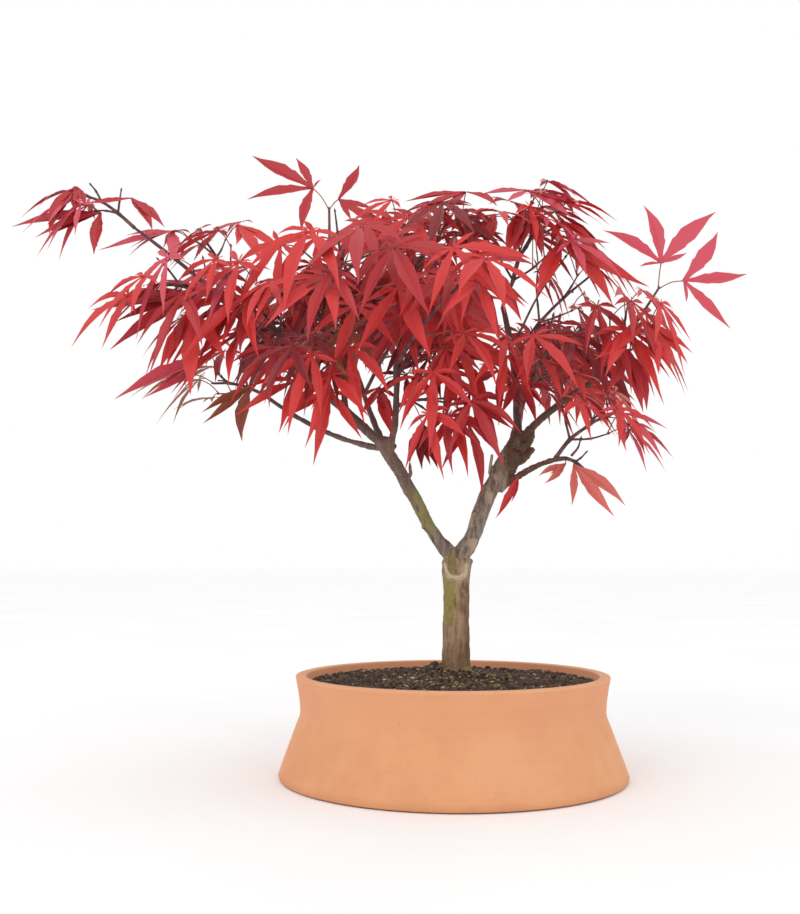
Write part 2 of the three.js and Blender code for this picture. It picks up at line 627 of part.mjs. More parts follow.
// Soil fills the pot to just under the rim and rises a little round the trunk.
function soilSolid() {
  const rimInside = POT_RIM_RADIUS - POT_WALL;
  const waistInside = POT_WAIST_RADIUS - POT_WALL;
  const wallSlope = (rimInside - waistInside) / (POT_HEIGHT - POT_EDGE - POT_WAIST_HEIGHT);
  const edgeRadius = waistInside + wallSlope * (SOIL_EDGE_HEIGHT - POT_WAIST_HEIGHT);
  return turnedSolid([
    [0, POT_FLOOR + GAP],
    [POT_FLOOR_RADIUS - 2 * GAP, POT_FLOOR + GAP],
    [waistInside - GAP, POT_WAIST_HEIGHT],
    [edgeRadius - GAP, SOIL_EDGE_HEIGHT],
    [SOIL_TOP_RADIUS * 2, (SOIL_EDGE_HEIGHT + SOIL_TOP_HEIGHT) / 2],
    [SOIL_TOP_RADIUS, SOIL_TOP_HEIGHT],
    [0, SOIL_TOP_HEIGHT],
  ], POT_FACETS);
}

function trunkRings() {
  const rise = between(TRUNK_FOOT, TRUNK_TOP);
  return {
    centres: TRUNK_TAPER.map(([height]) => sum(TRUNK_FOOT, times(rise, height / rise.length()))),
    radii: TRUNK_TAPER.map(([, radius]) => radius),
    sides: TRUNK_SIDES,
  };
}

// The trunk and its fork are cut level at the soil.
function trunkSolid() {
  const arms = STUMPS.map(({ name }) => tube(limbRings(limbLines.get(name))));
  return joined([tube(trunkRings()), ...arms]);
}

const limbLines = layOutLimbs();
const limbObstacles = limbLengths(limbLines);

addPiece('pot', potSolid(), TERRACOTTA);
addPiece('soil', soilSolid(), POTTING_SOIL);
addPiece('trunk', trunkSolid(), BARK);

const clearances = [
  clearanceOf(trunkRings()),
  ...STUMPS.map(({ name }) => clearanceOf(limbRings(limbLines.get(name)))),
];
for (const { name } of LIMBS) {
  const rings = limbRings(limbLines.get(name));
  addPiece(name, cutClear(tube(rings), clearances), BARK);
  clearances.push(clearanceOf(rings));
}

// Twigs stand where they grew. A shoot or leaf that would touch another mass is left off, and so
// is a leaf that is tangled in the rest of its own.
const masses = MASSES.map(growMass).map((grown) => ({
  ...grown,
  shoots: grown.twigs.map((twig) => tube(twigRings(twig))),
  blades: [],
}));
masses.forEach((grown, place) => {
  const earlier = masses.slice(0, place).flatMap(({ shoots }) => shoots.filter(Boolean));
  grown.shoots = grown.shoots.map((shoot, twig) => (
    twig > 0 && earlier.some((other) => overlap(shoot, other)) ? null : shoot));
});
for (const grown of masses) {
  const others = masses.filter((other) => other !== grown);
  let whole = joined(grown.shoots.filter(Boolean));
  for (const leaf of grown.leaves.filter(({ twig }) => grown.shoots[twig])) {
    const blade = leafSolid(leaf);
    const leafy = whole.add(blade);
    const isTangled = leafy.numTri() - whole.numTri() > MOST_LEAF_FACES;
    const touches = others.some(({ shoots, blades }) => (
      [...shoots, ...blades].some((other) => other && overlap(blade, other))));
    if (isTangled || touches || !isSound(leafy)) continue;
    whole = leafy;
    grown.blades.push(blade);
  }
  addPiece(grown.name, cutClear(whole, clearances), RED_LEAF);
}

export default plant;
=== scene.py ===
"""A red-leaved maple trained as a bonsai, in a round waisted terracotta pot."""
import math
import bpy
import numpy as np
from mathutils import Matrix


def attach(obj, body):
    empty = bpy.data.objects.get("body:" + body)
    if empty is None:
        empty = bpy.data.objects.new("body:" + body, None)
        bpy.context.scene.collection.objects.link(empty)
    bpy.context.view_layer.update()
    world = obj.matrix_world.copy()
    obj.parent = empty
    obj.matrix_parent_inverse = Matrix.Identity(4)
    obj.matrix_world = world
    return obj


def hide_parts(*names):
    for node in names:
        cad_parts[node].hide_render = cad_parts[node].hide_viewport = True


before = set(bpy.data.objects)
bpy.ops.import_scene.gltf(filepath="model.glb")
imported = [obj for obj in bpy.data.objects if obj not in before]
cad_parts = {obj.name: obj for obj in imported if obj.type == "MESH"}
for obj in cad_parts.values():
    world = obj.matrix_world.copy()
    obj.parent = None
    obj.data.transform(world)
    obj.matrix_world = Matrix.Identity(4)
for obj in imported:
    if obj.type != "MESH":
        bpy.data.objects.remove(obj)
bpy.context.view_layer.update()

# ---- Camera ----
# The view is from the front, from a little above the rim of the pot, and tipped up so that the whole crown is
# in the frame. The standard view transform keeps the colours as they are mixed.

bpy.ops.object.camera_add(location=(-0.0425, -0.892, 0.170), rotation=(math.radians(95.6), 0, 0))
camera = bpy.context.object
camera.name = "camera"
camera.data.sensor_width = 36
camera.data.lens = 42.46
bpy.context.scene.camera = camera
bpy.context.scene.view_settings.view_transform = "Standard"

# ---- Pot ----
# A round pot of unglazed terracotta, thrown on a wheel: it narrows to a soft crease at the waist and
# flares again to a thin square rim. The spin gives the wall, and low ridges in the clay run round it.

# Radius and height of the wall in millimetres, from the middle of the underside up to the rim, then inside
# down to the floor.
POT_OUTSIDE = [(0, 0), (137.2, 0), (139.4, .8), (140, 2.6), (137.9, 9), (134.6, 18), (131, 28), (127.7, 37),
               (125.2, 43.5), (123.6, 48), (123.1, 51), (123.2, 55), (123.9, 62), (125.2, 70), (126.6, 77),
               (127, 78.6), (126.6, 79.7), (125.6, 80)]
POT_INSIDE = [(119.6, 80), (118.4, 79.6), (118, 78.4), (116.2, 66), (114.3, 52), (114.6, 44), (120, 26),
              (125.5, 12), (124.5, 10.4), (122, 10), (0, 10)]
MERGE_WITHIN = 2e-5


def wire_object(name, points):
    """An open line through points in millimetres, as a new active mesh object."""
    bpy.ops.object.select_all(action="DESELECT")
    mesh = bpy.data.meshes.new(name)
    edges = [(i, i + 1) for i in range(len(points) - 1)]
    mesh.from_pydata([tuple(c / 1000 for c in p) for p in points], edges, [])
    line = bpy.data.objects.new(name, mesh)
    bpy.context.collection.objects.link(line)
    bpy.context.view_layer.objects.active = line
    line.select_set(True)
    return line


def spin_profile(name, profile, steps):
    """The closed body that a profile of (radius, height) makes when it is spun about the upright axis."""
    body = wire_object(name, [(r, 0, z) for r, z in profile])
    bpy.ops.object.mode_set(mode="EDIT")
    bpy.ops.mesh.select_all(action="SELECT")
    bpy.ops.mesh.spin(steps=steps, angle=2 * math.pi, center=(0, 0, 0), axis=(0, 0, 1))
    bpy.ops.mesh.select_all(action="SELECT")
    bpy.ops.mesh.remove_doubles(threshold=MERGE_WITHIN)
    bpy.ops.mesh.normals_make_consistent(inside=False)
    bpy.ops.object.mode_set(mode="OBJECT")
    return body


class Value:
    """A node's output. Numbers take arithmetic; between() blends two colours or values by it."""

    def __init__(self, socket):
        self.socket = socket

    def math(self, operation, *terms):
        """A Math node on the terms given."""
        return node(self.socket.id_data, "ShaderNodeMath", {"operation": operation}, dict(enumerate(terms)))

    def __add__(self, other):
        return self.math("ADD", self, other)

    def __radd__(self, other):
        return self.math("ADD", other, self)

    def __sub__(self, other):
        return self.math("SUBTRACT", self, other)

    def __rsub__(self, other):
        return self.math("SUBTRACT", other, self)

    def __mul__(self, other):
        return self.math("MULTIPLY", self, other)

    def __rmul__(self, other):
        return self.math("MULTIPLY", other, self)

    def rise(self, low, high):
        """0 below low and 1 above high, with a soft step between; low may be the larger one."""
        return node(self.socket.id_data, "ShaderNodeMapRange", {"interpolation_type": "SMOOTHSTEP"},
                    {"Value": self, "From Min": low, "From Max": high})

    def between(self, off, on):
        """The colour off where this is 0 and the colour on where it is 1."""
        return node(self.socket.id_data, "ShaderNodeMix", {"data_type": "RGBA"},
                    {0: self, 6: off, 7: on}, output=2)


def node(tree, kind, settings, inputs, output=0):
    """A new node with its settings and its inputs, each a number, a colour or a Value to link."""
    made = tree.nodes.new(kind)
    for key, value in settings.items():
        setattr(made, key, value)
    for key, value in inputs.items():
        if isinstance(value, Value):
            tree.links.new(value.socket, made.inputs[key])
        else:
            made.inputs[key].default_value = value
    return Value(made.outputs[output])


def srgb(red, green, blue):
    """An sRGB colour from 0 to 255 as the linear colour that a shader takes."""
    shares = [c / 255 for c in (red, green, blue)]
    return tuple(c / 12.92 if c <= .04045 else ((c + .055) / 1.055) ** 2.4 for c in shares) + (1,)


class Material:
    """A node material with its Principled shader, and patterns that are laid out in millimetres."""

    def __init__(self, name):
        self.data = bpy.data.materials.new(name)
        self.data.use_nodes = True
        self.tree = self.data.node_tree
        self.shader = self.tree.nodes["Principled BSDF"]
        self.place = self.tree.nodes.new("ShaderNodeTexCoord").outputs["Object"]

    def at(self, centre=(0, 0, 0), stretch=(1, 1, 1)):
        """Object coordinates in millimetres from a centre, each axis squeezed by its share of stretch."""
        factor = [1000 / s for s in stretch]
        shift = [-c / s for c, s in zip(centre, stretch)]
        return node(self.tree, "ShaderNodeMapping", {},
                    {"Vector": Value(self.place), "Location": shift, "Scale": factor})

    def axis(self, name, centre=(0, 0, 0)):
        """One coordinate in millimetres from a centre."""
        return node(self.tree, "ShaderNodeSeparateXYZ", {}, {0: self.at(centre)}, output="XYZ".index(name))

    def noise(self, size, detail=3, stretch=(1, 1, 1), centre=(0, 0, 0)):
        """Soft noise from 0 to 1 whose lumps are about size millimetres across."""
        inputs = {"Vector": self.at(centre, stretch), "Scale": 1 / size, "Detail": detail, "Roughness": .55}
        return node(self.tree, "ShaderNodeTexNoise", {}, inputs)

    def cells(self, size):
        """Distance from the middle of the nearest cell, cells being size millimetres across."""
        return node(self.tree, "ShaderNodeTexVoronoi", {}, {"Vector": self.at(), "Scale": 1 / size})

    def set(self, **inputs):
        """Sets or links the shader's inputs, their names written with _ for a space."""
        for key, value in inputs.items():
            socket = self.shader.inputs[key.replace("_", " ")]
            if isinstance(value, Value):
                self.tree.links.new(value.socket, socket)
            else:
                socket.default_value = value

    def relief(self, height, depth):
        """Bumps from a height of 0 to 1 that stands depth millimetres proud."""
        bump = {"Height": height, "Distance": depth / 1000, "Strength": 1}
        self.set(Normal=node(self.tree, "ShaderNodeBump", {}, bump))

    def paint(self, piece):
        """Makes this the piece's only material."""
        piece.data.materials.clear()
        piece.data.materials.append(self.data)


clay = Material("terracotta")
height = clay.axis("Z")
cloud = clay.noise(46, 4)
grain = clay.noise(1.1, 2, stretch=(1, 1, .8))
ring = clay.noise(2.6, 3, stretch=(60, 60, 1))
speck = clay.cells(3.4).rise(.16, .08) * clay.noise(7).rise(.5, .62)
body = cloud.rise(.3, .7).between(srgb(216, 150, 105), srgb(225, 162, 116))
body = (height.rise(47, 52) * .55).between(body, srgb(223, 156, 116))
body = (ring.rise(.45, .75) * .12).between(body, srgb(208, 139, 94))
foot = height.rise(7, 0) * .45 + clay.noise(14).rise(.62, .75) * height.rise(22, 6) * .3
body = foot.between(body, srgb(198, 132, 90))
body = (height.rise(78, 80) * .5).between(body, srgb(230, 174, 134))
body = (speck * .55).between(body, srgb(164, 96, 58))
clay.set(Base_Color=body, Roughness=.74 + grain * .16 - ring * .06)
clay.relief(grain * .25 + ring * .3 + cloud * .3, .3)

pot = spin_profile("pot_wall", POT_OUTSIDE + POT_INSIDE, 160)
bpy.ops.object.shade_smooth_by_angle(angle=math.radians(38))
clay.paint(pot)
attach(pot, "root")
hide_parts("pot")

# ---- Soil ----
# Dark potting soil fills the pot to a finger's width under the rim and is heaped up round the trunk.
# Loose crumbs, grit and a little moss lie on it: small lumps scattered by a rule, one mesh for each colour.

SOIL_PROFILE = [(0, 77), (34, 77), (68, 75), (118, 73)]
SOIL_SIDE = [(117.3, 71.5), (114.5, 56), (113.8, 50), (119, 27), (122.5, 12.5), (121.5, 10.3), (0, 10.3)]
HEAP_HEIGHT, HEAP_FROM, HEAP_WIDTH = 6, 12, 17
SHOULDER_HEIGHT, SHOULDER_X, SHOULDER_WIDTH, SHOULDER_DEPTH = 5.5, -15, 11, 15
TOPSIDE_ABOVE, TOPSIDE_WITHIN = .0725, .1165


def repeatable(seed):
    """Random numbers from 0 to 1 that are the same each time for one seed."""
    state = seed & 0xFFFFFFFF

    def draw():
        nonlocal state
        state = (state + 0x6D2B79F5) & 0xFFFFFFFF
        t = ((state ^ (state >> 15)) * (state | 1)) & 0xFFFFFFFF
        t = ((t + (((t ^ (t >> 7)) * (t | 61)) & 0xFFFFFFFF)) & 0xFFFFFFFF) ^ t
        return ((t ^ (t >> 14)) & 0xFFFFFFFF) / 4294967296
    return draw


def soil_height(radius):
    """Height of the soil at a distance from the middle, a little heaped at the trunk."""
    flat = float(np.interp(radius, *zip(*SOIL_PROFILE)))
    return flat + HEAP_HEIGHT * math.exp(-((max(radius - HEAP_FROM, 0) / HEAP_WIDTH) ** 2))


def heap(x, y):
    """Height of the shoulder of soil that is piled on the left of the trunk's foot."""
    return SHOULDER_HEIGHT * math.exp(-((x - SHOULDER_X) / SHOULDER_WIDTH) ** 2 - (y / SHOULDER_DEPTH) ** 2)


def mesh_object(name, points, faces, smooth=True):
    """A new mesh object from points in millimetres and faces."""
    mesh = bpy.data.meshes.new(name)
    mesh.from_pydata((np.array(points) / 1000).tolist(), [], faces)
    mesh.polygons.foreach_set("use_smooth", [smooth] * len(mesh.polygons))
    made = bpy.data.objects.new(name, mesh)
    bpy.context.collection.objects.link(made)
    return made


def displace(piece, strength, size, group, stretch=(1, 1, 1)):
    """Pushes a group's surface in and out by clouds whose lumps are size millimetres across."""
    pattern = bpy.data.textures.new(piece.name + "_clouds", "CLOUDS")
    pattern.noise_scale = size / 1000
    bpy.ops.object.empty_add()
    rule = bpy.context.object
    rule.scale = stretch
    bpy.context.view_layer.update()
    modifier = piece.modifiers.new("relief", "DISPLACE")
    modifier.texture = pattern
    modifier.texture_coords = "OBJECT"
    modifier.texture_coords_object = rule
    modifier.strength = strength / 1000
    modifier.mid_level = .5
    modifier.vertex_group = group
    bpy.context.view_layer.objects.active = piece
    bpy.ops.object.modifier_apply(modifier=modifier.name)
    bpy.data.objects.remove(rule)


top = [(r, soil_height(r)) for r in np.arange(0, 117.5, 1.6)]
soil = spin_profile("soil_bed", top + SOIL_SIDE, 220)
bpy.ops.object.shade_smooth()
topside = soil.vertex_groups.new(name="topside")
for v in soil.data.vertices:
    if v.co.z > TOPSIDE_ABOVE:
        if math.hypot(v.co.x, v.co.y) < TOPSIDE_WITHIN:
            topside.add([v.index], 1, "REPLACE")
        v.co.z += heap(v.co.x * 1000, v.co.y * 1000) / 1000
displace(soil, 3.2, 9, "topside")
displace(soil, 1.8, 2.6, "topside")

earth = Material("soil")
crumb = earth.noise(2.2, 4)
damp = earth.noise(17, 3)
ground = crumb.rise(.3, .7).between(srgb(30, 21, 18), srgb(74, 56, 46))
ground = (damp.rise(.5, .7) * .5).between(ground, srgb(58, 40, 30))
earth.set(Base_Color=ground, Roughness=.82 + crumb * .14)
earth.relief(crumb, 1.2)
earth.paint(soil)
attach(soil, "root")
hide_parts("soil")

# Name, number, smallest and largest size, nearest and furthest from the middle, dark and light colour, seed.
CRUMBS = [
    ("soil_crumbs", 3400, (.8, 3.1), (4, 115.5), srgb(38, 28, 24), srgb(98, 76, 60), 5),
    ("soil_grit", 760, (.7, 2), (6, 115), srgb(136, 112, 76), srgb(196, 170, 128), 6),
    ("moss_tufts", 620, (.6, 2), (12.5, 62), srgb(92, 84, 46), srgb(152, 134, 78), 7),
    ("orange_grit", 260, (.6, 1.7), (12.5, 100), srgb(96, 46, 36), srgb(164, 92, 58), 8),
]
GOLDEN = (1 + math.sqrt(5)) / 2
PAIRS = [(s, t * GOLDEN) for s in (-1, 1) for t in (-1, 1)]
LUMP = [(s, t, 0) for s, t in PAIRS] + [(0, s, t) for s, t in PAIRS] + [(t, 0, s) for s, t in PAIRS]
LUMP = np.array(LUMP) / math.sqrt(1 + GOLDEN ** 2)
LUMP_EDGE = 1.1


def faces_out(a, b, c):
    """Whether three corners of a lump, taken in this order, make a face that points outwards."""
    return np.cross(LUMP[b] - LUMP[a], LUMP[c] - LUMP[a]) @ LUMP[a] > 0


corners = range(len(LUMP))
sides = [(a, b, c) for a in corners for b in corners[a + 1:] for c in corners[b + 1:]
         if all(np.linalg.norm(LUMP[i] - LUMP[j]) < LUMP_EDGE for i, j in ((a, b), (b, c), (a, c)))]
sides = [(a, b, c) if faces_out(a, b, c) else (a, c, b) for a, b, c in sides]

for name, count, (small, large), (inner, outer), dark, light, seed in CRUMBS:
    random = np.random.default_rng(seed)
    points, faces = [], []
    for i in range(count):
        size = small + (large - small) * random.random() ** 2.2
        radius = math.sqrt(inner ** 2 + (outer ** 2 - inner ** 2) * random.random())
        turn_by = random.random() * 2 * math.pi
        uneven = 1 + random.uniform(-.28, .28, (len(LUMP), 1))
        shape = LUMP * size * uneven * random.uniform((.8, .8, .55), (1.2, 1.2, .9))
        radius = min(radius, 116 - size)
        x, y = 3 * (radius < 50) + radius * math.cos(turn_by), radius * math.sin(turn_by)
        centre = (x, y, soil_height(radius) + heap(x, y) + size * .25)
        faces += [tuple(c + len(points) for c in face) for face in sides]
        points += list(shape + centre)
    lumps = mesh_object(name, points, faces, smooth=False)
    stuff = Material(name)
    tone = stuff.noise(3.5, 2)
    stuff.set(Base_Color=tone.rise(.35, .65).between(dark, light), Roughness=.8 + tone * .15)
    stuff.relief(stuff.noise(.7, 2), .2)
    stuff.paint(lumps)
    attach(lumps, "root")
    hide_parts("soil")

# ---- Trunk and boughs ----
# One living piece of wood: a short trunk that flares at the soil and forks in two, and the limbs that leave
# each other in turn. Tubes along the lines of the CAD limbs are fused by a remesh, and the bark's relief is
# pressed into the skin.

UP = np.array((0., 0, 1))
TRUNK_FOOT = np.array((3., 0, 77.3))
TRUNK_TOP = np.array((4., 0, 173))
TRUNK_TAPER = [(0, 17), (3.5, 14), (9, 12.2), (20, 11.4), (45, 10.8), (72, 10.8), (86, 11.8), (96, 11)]
STUMP_LENGTH = 17
# The two stumps of the fork: name, lean, and radius at each end.
STUMPS = [("fork_left", (-58, -8, 94), (8, 6.4)), ("fork_right", (53, 10, 104), (8.6, 7.5))]
# Name, the limb that bears it, the share of that limb where it starts, tip, bow, and radius at each end.
LIMBS = [
    ("left_bough", "fork_left", 1, (-57, -8, 267), (-1, 0, 2), (6.3, 5)),
    ("right_bough", "fork_right", 1, (60, 10, 280), (-1, 1, 1), (7.4, 6.2)),
    ("left_leader", "left_bough", 1, (-189, -24, 386), (2, -1, -2), (4.2, 2.2)),
    ("left_tip_limb", "left_leader", 1, (-264, -16, 448), (-2, 0, 3), (2, 1.3)),
    ("left_low_limb", "left_bough", .95, (-160, 36, 315), (0, 2, -8), (2.7, 1.7)),
    ("left_inner_limb", "left_bough", .9, (-46, -46, 326), (3, 2, -4), (3.2, 2.2)),
    ("left_upright", "left_leader", .24, (-102, 6, 405), (1, -5, 0), (2.7, 1.5)),
    ("middle_upright", "left_inner_limb", .7, (-42, -8, 395), (1, -8, 0), (2.2, 1.5)),
    ("right_upright", "right_bough", .93, (46, 20, 390), (4, 0, 0), (4, 2.3)),
    ("right_side", "right_bough", .86, (123, -20, 322), (-1, -2, 4), (3.5, 2.2)),
    ("right_low", "right_bough", .62, (91, -26, 254), (0, 0, 3), (3, 1.9)),
    ("rear_left_limb", "left_bough", .8, (-82, 90, 345), (0, 4, -8), (3.4, 2)),
    ("rear_right_limb", "right_bough", .78, (70, 90, 330), (0, 4, -8), (3.6, 2)),
]
# Cut stubs, knots, the healed scar under the fork and the roots at the soil: points, and the radius at each.
STUBS = [
    ([(57, 8, 262), (62, 6, 268), (67, 5, 276), (69, 4, 281)], (4.2, 4.6, 3.6, 1.4)),
    ([(56, 7, 254), (63, 4, 259), (69, 3, 265)], (4, 3.6, 2)),
    ([(54, 6, 262), (50.5, 4, 250), (46, 4, 240), (37, 5, 228)], (5.5, 5.4, 4.4, 1.4)),
    ([(33, 8, 244), (33.2, 4, 252), (34.4, 3, 260)], (2.4, 1.5, 1.2)),
    ([(30, 7, 229), (25, 3, 232)], (3, 1.3)),
    ([(-18, -3, 196), (-23.2, -4, 199.5), (-24.2, -4, 203)], (3, 2.4, 1.2)),
    ([(-38, -7, 236), (-33.6, -9, 243), (-34.6, -9, 252)], (2.6, 1.5, .9)),
    ([(-48, -8, 262), (-55, -9, 268), (-62, -10, 271)], (5, 6.6, 4)),
    ([(13, 0, 169), (17.5, -1, 172)], (3.5, 1.5)),
    ([(-5, 0, 174), (-2.5, 0, 171), (4, 0, 168), (10.5, 0, 171), (13.5, 0, 174)], (4.5, 8.4, 10.8, 9, 5)),
    ([(2, -8.4, 165), (.6, -9.2, 172), (.6, -6.5, 181)], (1.8, 3.4, 1.8)),
    ([(-6, -8.6, 171), (-5, -9.4, 164), (-1.4, -10.6, 158.6), (3, -11, 157), (7.6, -10.2, 159.4),
      (10.6, -9, 166)], (1, 1.3, 1.6, 1.6, 1.4, 1)),
    ([(3, 0, 84), (14, -9, 79), (23, -15, 75)], (8, 5, 2)),
    ([(3, 0, 84), (-9, -10, 79), (-18, -16, 75)], (8, 5, 2)),
    ([(3, 0, 84), (-12, 6, 79), (-23, 10, 75)], (8, 5, 2)),
    ([(3, 0, 84), (12, 10, 79), (20, 18, 75)], (8, 5, 2)),
]


def unit(v):
    """The direction of a vector, one long."""
    return v / math.sqrt(float(v @ v))


def along_path(path, share):
    """The point at a share of a limb's length."""
    start, end, bow, _ = path
    return start + (end - start) * share + bow * (4 * share * (1 - share))


def vary(draw, spread):
    """A random number between the spread below 0 and the spread above it."""
    return (draw() * 2 - 1) * spread


def jitter(draw, *spreads):
    """A small random step, with one spread for each axis."""
    return np.array([vary(draw, spread) for spread in spreads])


def tube(points, radii):
    """A round tapering tube through points in millimetres, as a curve turned into a mesh."""
    bpy.ops.object.select_all(action="DESELECT")
    bpy.ops.curve.primitive_nurbs_path_add()
    curve = bpy.context.object
    curve.data.splines.clear()
    line = curve.data.splines.new("POLY")
    line.points.add(len(points) - 1)
    for place, point, radius in zip(line.points, points, radii):
        place.co = (*(float(c) / 1000 for c in point), 1)
        place.radius = radius
    curve.data.bevel_depth = .001
    curve.data.bevel_resolution = 4
    curve.data.use_fill_caps = True
    bpy.ops.object.convert(target="MESH")
    return bpy.context.object


paths = {}
for name, lean, radii in STUMPS:
    tip = TRUNK_TOP + unit(np.array(lean, float)) * STUMP_LENGTH
    paths[name] = (TRUNK_TOP - UP * 3, tip, np.zeros(3), radii)
for name, parent, share, tip, bow, radii in LIMBS:
    paths[name] = (along_path(paths[parent], share), np.array(tip, float), np.array(bow, float), radii)

# The fork opens wider than the CAD's straight stumps. For each side: heights, how far the wood stands out
# there, and its share of the radius.
FORK = {
    "left": ((173, 187, 200, 213, 227, 240, 250), (0, -5.3, -5.4, -4, -2.4, -.8, 0),
             (1, .84, .84, .88, .92, .97, 1)),
    "right": ((173, 187, 194, 200, 213, 220, 228), (0, 4.2, 4.3, 2.8, 2, .8, 0),
              (1, .88, .92, .95, .95, .97, 1)),
}
LOW_LIMB_SAG = 16
BROKEN_AT = ((64, 6, 268), (54, 3, 248))
BROKEN_WITHIN = 22
VOXEL = .00076
# The bark's relief sets in at the soil and fades on young wood: heights and lengths of both, and its least.
RELIEF_FROM, RELIEF_RISE, RELIEF_TO, RELIEF_FADE, LEAST_RELIEF = 74, 8, 285, 60, .12
draw = repeatable(11)
tubes = []
for name, path in paths.items():
    length = math.dist(path[0], path[1])
    steps = max(4, round(length / 8))
    points = [along_path(path, k / steps) for k in range(steps + 1)]
    radii = [path[3][0] + (path[3][1] - path[3][0]) * k / steps for k in range(steps + 1)]
    for k in range(1, steps):
        points[k] = points[k] + jitter(draw, .07, .07, .07) * radii[k]
        radii[k] *= 1 + vary(draw, .04) + (.06 if k % 3 == 0 else 0)
    if name in ("fork_left", "left_bough", "fork_right", "right_bough"):
        heights, out, thin = FORK["left" if "left" in name else "right"]
        radii = [r * np.interp(p[2], heights, thin) for p, r in zip(points, radii)]
        points = [p + np.array((np.interp(p[2], heights, out), 0, 0)) for p in points]
    if name == "right_low":
        points = [p - UP * (LOW_LIMB_SAG * (1 - k / steps) ** 1.5) for k, p in enumerate(points)]
    tubes.append(tube(points, radii))
lean = [TRUNK_FOOT + (height / 96, 0, height) for height, _ in TRUNK_TAPER]
tubes.append(tube(lean, [radius for _, radius in TRUNK_TAPER]))
tubes += [tube(points, radii) for points, radii in STUBS]
bpy.ops.object.select_all(action="DESELECT")
for piece in tubes:
    piece.select_set(True)
bpy.context.view_layer.objects.active = tubes[0]
bpy.ops.object.join()
wood = bpy.context.object
wood.name = wood.data.name = "trunk_and_boughs"
remesh = wood.modifiers.new("skin", "REMESH")
remesh.mode = "VOXEL"
remesh.voxel_size = VOXEL
remesh.use_smooth_shade = True
bpy.ops.object.modifier_apply(modifier=remesh.name)
smooth = wood.modifiers.new("grown", "SMOOTH")
smooth.factor = .5
smooth.iterations = 4
bpy.ops.object.modifier_apply(modifier=smooth.name)
broken = wood.vertex_groups.new(name="broken")
fissured = wood.vertex_groups.new(name="fissured")
for v in wood.data.vertices:
    x, y, z = v.co * 1000
    near = min(math.dist((x, y, z), place) for place in BROKEN_AT)
    if near < BROKEN_WITHIN:
        broken.add([v.index], 1 - near / BROKEN_WITHIN, "REPLACE")
    out_of_soil = min(max((z - RELIEF_FROM) / RELIEF_RISE, 0), 1)
    old_bark = 1 if z < RELIEF_TO else max(0, 1 - (z - RELIEF_TO) / RELIEF_FADE) * .6
    fissured.add([v.index], max(out_of_soil * old_bark, LEAST_RELIEF), "REPLACE")
displace(wood, 1.5, 7, "fissured", stretch=(1, 1, 2.2))
displace(wood, .75, 1.7, "fissured", stretch=(1, 1, 2.6))
displace(wood, 3.4, 3.2, "broken")

bark = Material("bark")
streak = bark.noise(3.2, 4, stretch=(1, 1, 4))
patch = bark.noise(9, 3, stretch=(1, 1, 1.8), centre=(4, 3, 0))
fleck = bark.noise(1.5, 2, stretch=(1.3, 1.3, .8))
x, y, z = bark.axis("X"), bark.axis("Y"), bark.axis("Z")
trunk = streak.rise(.32, .68).between(srgb(114, 85, 58), srgb(172, 143, 110))
trunk = (patch.rise(.48, .62) * .6).between(trunk, srgb(184, 149, 122))
trunk = (x.rise(5, 14) * z.rise(172, 120) * .75).between(trunk, srgb(94, 61, 34))
algae = x.rise(4, 0) * x.rise(-10, -7.5) * z.rise(112, 132) * z.rise(161, 154) * streak.rise(.25, .5) * .85
trunk = algae.between(trunk, srgb(140, 131, 60))
trunk = (z.rise(112, 84) * .65).between(trunk, srgb(94, 63, 38))
trunk = (z.rise(98, 80) * patch.rise(.5, .58) * .6).between(trunk, srgb(144, 121, 58))
trunk = (z.rise(87, 79) * streak.rise(.4, .6) * .7).between(trunk, srgb(168, 136, 84))
boughs = streak.rise(.3, .66).between(srgb(88, 76, 70), srgb(150, 132, 116))
boughs = (patch.rise(.5, .6) * x.rise(2, 20) * .8).between(boughs, srgb(182, 160, 138))
algae = x.rise(0, -8) * z.rise(190, 200) * z.rise(236, 226) * streak.rise(.28, .45) * .8
boughs = algae.between(boughs, srgb(136, 130, 70))
boughs = (x.rise(-28, -34) * .6).between(boughs, srgb(112, 84, 76))
boughs = (z.rise(262, 290) * .8).between(boughs, srgb(84, 60, 62))
torn = x.rise(43, 48) * z.rise(226, 234) * z.rise(292, 280) * (patch.rise(.35, .55) * .35 + .55)
boughs = torn.between(boughs, srgb(84, 58, 40))
boughs = (x.rise(64, 76) * .7).between(boughs, srgb(96, 74, 58))
boughs = (z.rise(300, 350) * .8).between(boughs, srgb(92, 54, 58))
skin = z.rise(160, 184).between(trunk, boughs)
# The scar under the fork: a dark wedge in a pale ring of healed bark.
aside = bark.axis("X", (-.3, 0, 0))
wedge = (aside * aside).rise(20, 8) * y.rise(-6, -9) * z.rise(158, 163) * z.rise(180, 175) * .8
skin = wedge.between(skin, srgb(118, 108, 54))
across, upward = bark.axis("X", (3, 0, 0)), bark.axis("Z", (0, 0, 166.5))
squared = across * across + upward * upward
off_ring = squared.math("SQRT", squared) - 9.2
rim = off_ring.math("ABSOLUTE", off_ring)
skin = (rim.rise(3, 1) * y.rise(-6, -8.5) * upward.rise(5, 1) * .8).between(skin, srgb(206, 190, 160))
skin = (fleck.rise(.6, .7) * .4).between(skin, srgb(64, 50, 44))
skin = (fleck.rise(.36, .28) * .35).between(skin, srgb(196, 180, 156))
bark.set(Base_Color=skin, Roughness=.66 + streak * .2)
bark.relief(streak * .6 + fleck * .4, .5)
bark.paint(wood)
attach(wood, "root")
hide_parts("trunk", *(limb[0] for limb in LIMBS))

# ---- Twigs, buds and leaf stalks ----
# Each mass of leaves is a stem with side shoots that leave it in crossed pairs, as a maple's do. The seeded
# rule of the CAD masses sets them out, and a second growth carries each shoot on to finer twigs inside the
# same reach.

